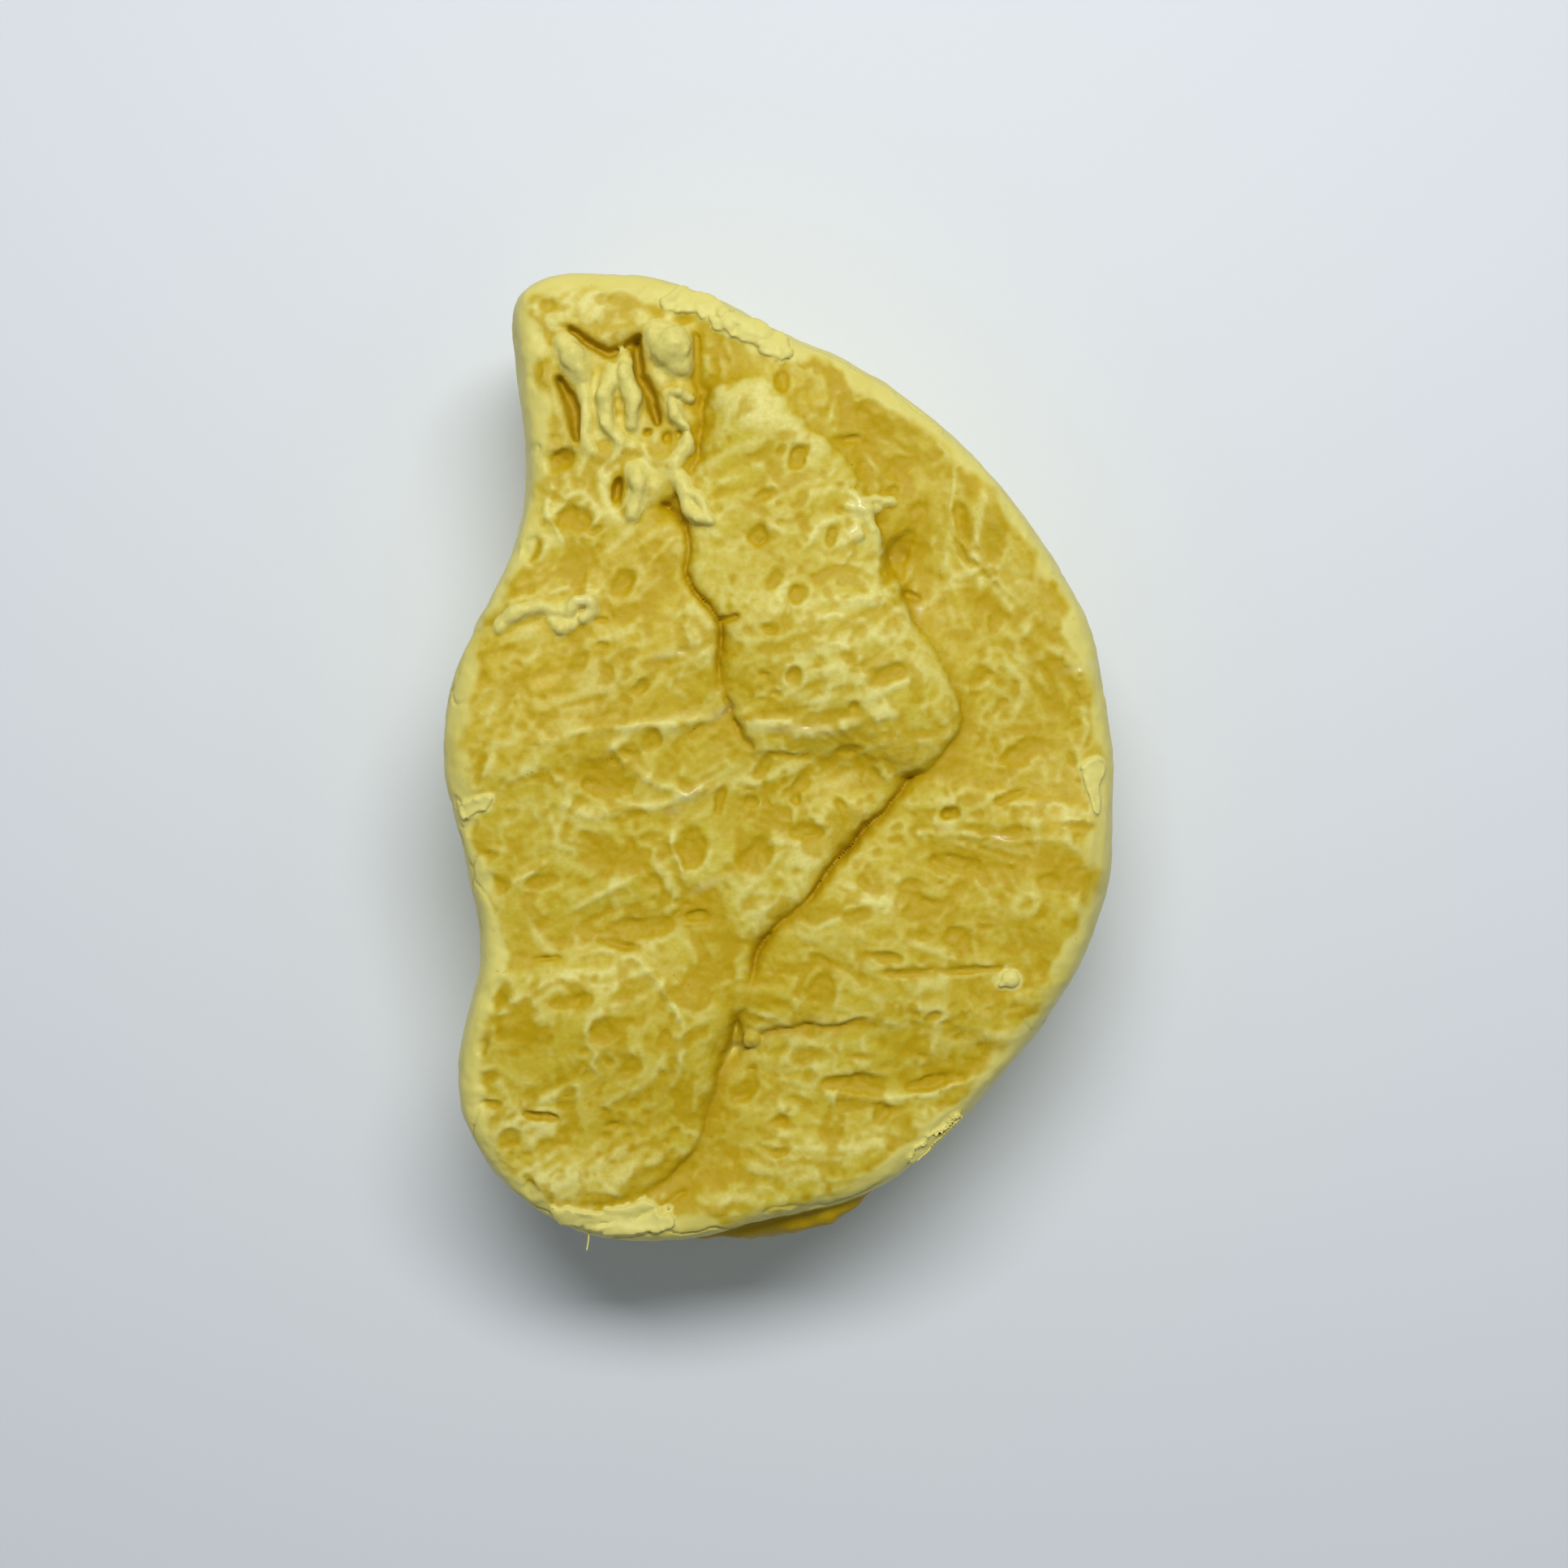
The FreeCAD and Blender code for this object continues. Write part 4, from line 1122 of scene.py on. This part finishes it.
# ---- materials ----
class Nodes:
    """Short ways to lay out a material's nodes."""

    def __init__(self, name):
        self.material = bpy.data.materials.new(name)
        self.material.use_nodes = True
        self.tree = self.material.node_tree
        self.shader = self.tree.nodes["Principled BSDF"]

    def add(self, kind, **settings):
        node = self.tree.nodes.new(kind)
        for key, value in settings.items():
            setattr(node, key, value)
        return node

    def link(self, start, end):
        self.tree.links.new(start, end)

    def feed(self, socket, value):
        if isinstance(value, bpy.types.NodeSocket):
            self.link(value, socket)
        else:
            socket.default_value = value

    def noise(self, size_mm, detail=3.0, roughness=0.55):
        node = self.add("ShaderNodeTexNoise")
        self.link(self.add("ShaderNodeTexCoord").outputs["Object"], node.inputs["Vector"])
        node.inputs["Scale"].default_value = 1.0 / (size_mm * MM)
        node.inputs["Detail"].default_value = detail
        node.inputs["Roughness"].default_value = roughness
        return node.outputs["Fac"]

    def math(self, operation, a, b, clamp=False):
        node = self.add("ShaderNodeMath", operation=operation, use_clamp=clamp)
        self.feed(node.inputs[0], a)
        self.feed(node.inputs[1], b)
        return node.outputs[0]

    def span(self, value, low, high, to_low=0.0, to_high=1.0):
        node = self.add("ShaderNodeMapRange")
        self.feed(node.inputs["Value"], value)
        ends = {"From Min": low, "From Max": high, "To Min": to_low, "To Max": to_high}
        for key, number in ends.items():
            node.inputs[key].default_value = number
        return node.outputs["Result"]

    def mix(self, share, a, b):
        node = self.add("ShaderNodeMix", data_type="RGBA")
        self.feed(node.inputs["Factor"], share)
        self.feed(node.inputs["A"], a)
        self.feed(node.inputs["B"], b)
        return next(s for s in node.outputs if s.name == "Result" and s.type == "RGBA")

    def layer(self, name):
        split = self.add("ShaderNodeSeparateColor")
        attribute = self.add("ShaderNodeAttribute", attribute_name=name)
        self.link(attribute.outputs["Color"], split.inputs["Color"])
        return split.outputs


def rgb(red, green, blue):
    """A colour given as it shows on a screen, from 0 to 255."""
    shown = [c / 255 for c in (red, green, blue)]
    return [*(c / 12.92 if c <= 0.04045 else ((c + 0.055) / 1.055) ** 2.4 for c in shown), 1.0]


BODY = rgb(200, 183, 46)
WARM = rgb(209, 179, 36)
MUSTARD = rgb(188, 157, 0)
# Painted shade for creases, slots and deep pits.
CREASE_SHADE_BROWN = rgb(162, 126, 0)
CREAM = rgb(227, 219, 130)
SKIN_TONE = rgb(225, 215, 122)
# A painted highlight for the glossy spots.
PAINTED_HIGHLIGHT_TONE = rgb(243, 236, 186)


def clay_material(name):
    """The one clay: its tones come from the pieces' own layers, and its grain from noise."""
    n = Nodes(name)
    pit_and_shade_a, pale_and_light_a, deep_shade_a = n.layer("clay_a")[:3]
    skin_b, warm_b, gloss_and_highlight_b = n.layer("clay_b")[:3]
    patch = n.noise(5.0, 3.0)
    speck = n.noise(0.9, 4.0, 0.65)
    grit = n.noise(0.40, 4.0, 0.6)
    body = n.mix(warm_b, BODY, WARM)
    body = n.mix(n.span(patch, 0.35, 0.7, 0.0, 0.12), body, CREAM)
    pale = n.math("ADD", pale_and_light_a, n.span(grit, 0.52, 0.74, 0.0, 0.22), clamp=True)
    pits_and_shade = n.math("MULTIPLY", pit_and_shade_a, n.span(speck, 0.25, 0.6, 1.15, 0.80), clamp=True)
    pits_and_shade = n.math("ADD", pits_and_shade, n.span(grit, 0.52, 0.30, 0.0, 0.22), clamp=True)
    colour = n.mix(n.math("MULTIPLY", pale, 0.95), body, CREAM)
    # Painted shade: the pit channel mixes in mustard.
    colour = n.mix(pits_and_shade, colour, MUSTARD)
    # Painted shade: the deep channel mixes in brown.
    colour = n.mix(deep_shade_a, colour, CREASE_SHADE_BROWN)
    skin = n.mix(n.span(speck, 0.4, 0.7, 0.0, 0.25), SKIN_TONE, CREAM)
    skin = n.mix(n.math("MULTIPLY", pit_and_shade_a, 0.8), skin, BODY)
    colour = n.mix(n.math("MULTIPLY", skin_b, 0.85), colour, skin)
    # Painted highlight: glossy spots are lightened towards near white.
    colour = n.mix(n.math("MULTIPLY", gloss_and_highlight_b, 0.22), colour, PAINTED_HIGHLIGHT_TONE)
    n.link(colour, n.shader.inputs["Base Color"])
    rough = n.span(speck, 0.3, 0.7, 0.36, 0.54)
    rough = n.math("SUBTRACT", rough, n.math("MULTIPLY", gloss_and_highlight_b, 0.30))
    rough = n.math("ADD", rough, n.math("MULTIPLY", pits_and_shade, 0.08), clamp=True)
    n.link(rough, n.shader.inputs["Roughness"])
    n.shader.inputs["Specular IOR Level"].default_value = 0.22
    n.link(n.math("MULTIPLY", gloss_and_highlight_b, 0.5, clamp=True), n.shader.inputs["Coat Weight"])
    n.shader.inputs["Coat Roughness"].default_value = 0.18
    relief = n.math("ADD", n.math("MULTIPLY", speck, 0.6), n.math("MULTIPLY", grit, 0.35))
    bump = n.add("ShaderNodeBump")
    bump.inputs["Strength"].default_value = 0.35
    bump.inputs["Distance"].default_value = 0.12 * MM
    n.link(relief, bump.inputs["Height"])
    n.link(bump.outputs["Normal"], n.shader.inputs["Normal"])
    return n.material


def floor_material():
    n = Nodes("pale_floor")
    colour = n.mix(n.noise(60.0, 2.0), rgb(226, 232, 238), rgb(229, 234, 239))
    n.link(colour, n.shader.inputs["Base Color"])
    n.shader.inputs["Roughness"].default_value = 0.75
    n.shader.inputs["Specular IOR Level"].default_value = 0.2
    return n.material


# ---- the stage ----
VIEW_WIDTH = 135.9  # how much the camera takes in, at the torn face's level
VIEW_CENTRE = (0.6, -2.3)
FACE_Z = 24.0
CAMERA_HALF_ANGLE = 18.5
KEY_PLACE = (20, 165, 360)
KEY_AIM = (0, 0, 10)
KEY_SIZE = (320, 95)
KEY_WATTS = 1.23
FLOOR_SIZE = 3.0  # metres
FLOOR_Z = -0.02


def make_camera():
    data = bpy.data.cameras.new("camera")
    data.sensor_width = 36.0
    data.lens = data.sensor_width / 2 / math.tan(math.radians(CAMERA_HALF_ANGLE))
    data.clip_start, data.clip_end = 0.01, 5.0
    camera = bpy.data.objects.new("camera", data)
    away = VIEW_WIDTH / 2 / math.tan(math.radians(CAMERA_HALF_ANGLE))
    camera.location = (VIEW_CENTRE[0] * MM, VIEW_CENTRE[1] * MM, (FACE_Z + away) * MM)
    bpy.context.scene.collection.objects.link(camera)
    bpy.context.scene.camera = camera


def make_key_light():
    data = bpy.data.lights.new("key", "AREA")
    data.shape = "ELLIPSE"
    data.size, data.size_y = (side * MM for side in KEY_SIZE)
    data.energy = KEY_WATTS
    data.color = (1.0, 0.99, 0.97)
    light = bpy.data.objects.new("key", data)
    light.location = [c * MM for c in KEY_PLACE]
    toward = light.location - Vector([c * MM for c in KEY_AIM])
    light.rotation_euler = toward.to_track_quat("Z", "Y").to_euler()
    bpy.context.scene.collection.objects.link(light)


def make_stage():
    bpy.ops.mesh.primitive_plane_add(size=FLOOR_SIZE, location=(0, 0, FLOOR_Z * MM))
    floor = bpy.context.object
    floor.name = "floor"
    floor.data.materials.append(floor_material())
    world = bpy.data.worlds.new("studio")
    world.use_nodes = True
    background = world.node_tree.nodes["Background"]
    background.inputs["Color"].default_value = (0.86, 0.92, 1.0, 1.0)
    background.inputs["Strength"].default_value = 0.22
    bpy.context.scene.world = world
    make_key_light()
    bpy.context.scene.view_settings.view_transform = "Standard"


def make_fibre(material):
    """The stray fibre, as a thin bent tube."""
    low, high = box_mm("stray_fibre")
    start = (high[0] - 0.1, high[1] + 0.4, low[2])
    end = (low[0] + 0.1, low[1] + 0.05, high[2])
    curve = bpy.data.curves.new("stray_fibre_clay", "CURVE")
    curve.dimensions = "3D"
    curve.bevel_depth = 0.07 * MM
    curve.bevel_resolution = 3
    curve.use_fill_caps = True
    spline = curve.splines.new("NURBS")
    middle = np.add(start, end) / 2 + (0.12, 0, 0.10)
    spline.points.add(2)
    for point, place in zip(spline.points, (start, middle, end)):
        point.co = (*(np.array(place) * MM), 1.0)
    spline.order_u = 3
    spline.use_endpoint_u = True
    made = bpy.data.objects.new("stray_fibre_curve", curve)
    bpy.context.scene.collection.objects.link(made)
    mesh = bpy.data.meshes.new_from_object(made)
    bpy.data.objects.remove(made)
    for layer, value in (("clay_a", (0, 1, 0, 1)), ("clay_b", (1, 0, 0, 1))):
        attribute = mesh.attributes.new(layer, "FLOAT_COLOR", "POINT")
        attribute.data.foreach_set("color", np.tile(np.array(value, np.float32), len(mesh.vertices)))
    piece = bpy.data.objects.new("stray_fibre_clay", mesh)
    bpy.context.scene.collection.objects.link(piece)
    return piece


def main():
    make_camera()
    make_stage()
    sculpture = Sculpture()
    sculpture.fill()
    join_trim(sculpture)
    pieces = build_pieces(sculpture)
    material = clay_material("clay")
    pieces["stray_fibre"] = make_fibre(material)
    for node, piece in pieces.items():
        piece.data.materials.clear()
        piece.data.materials.append(material)
        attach(piece, "root")
        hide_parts(node)


main()
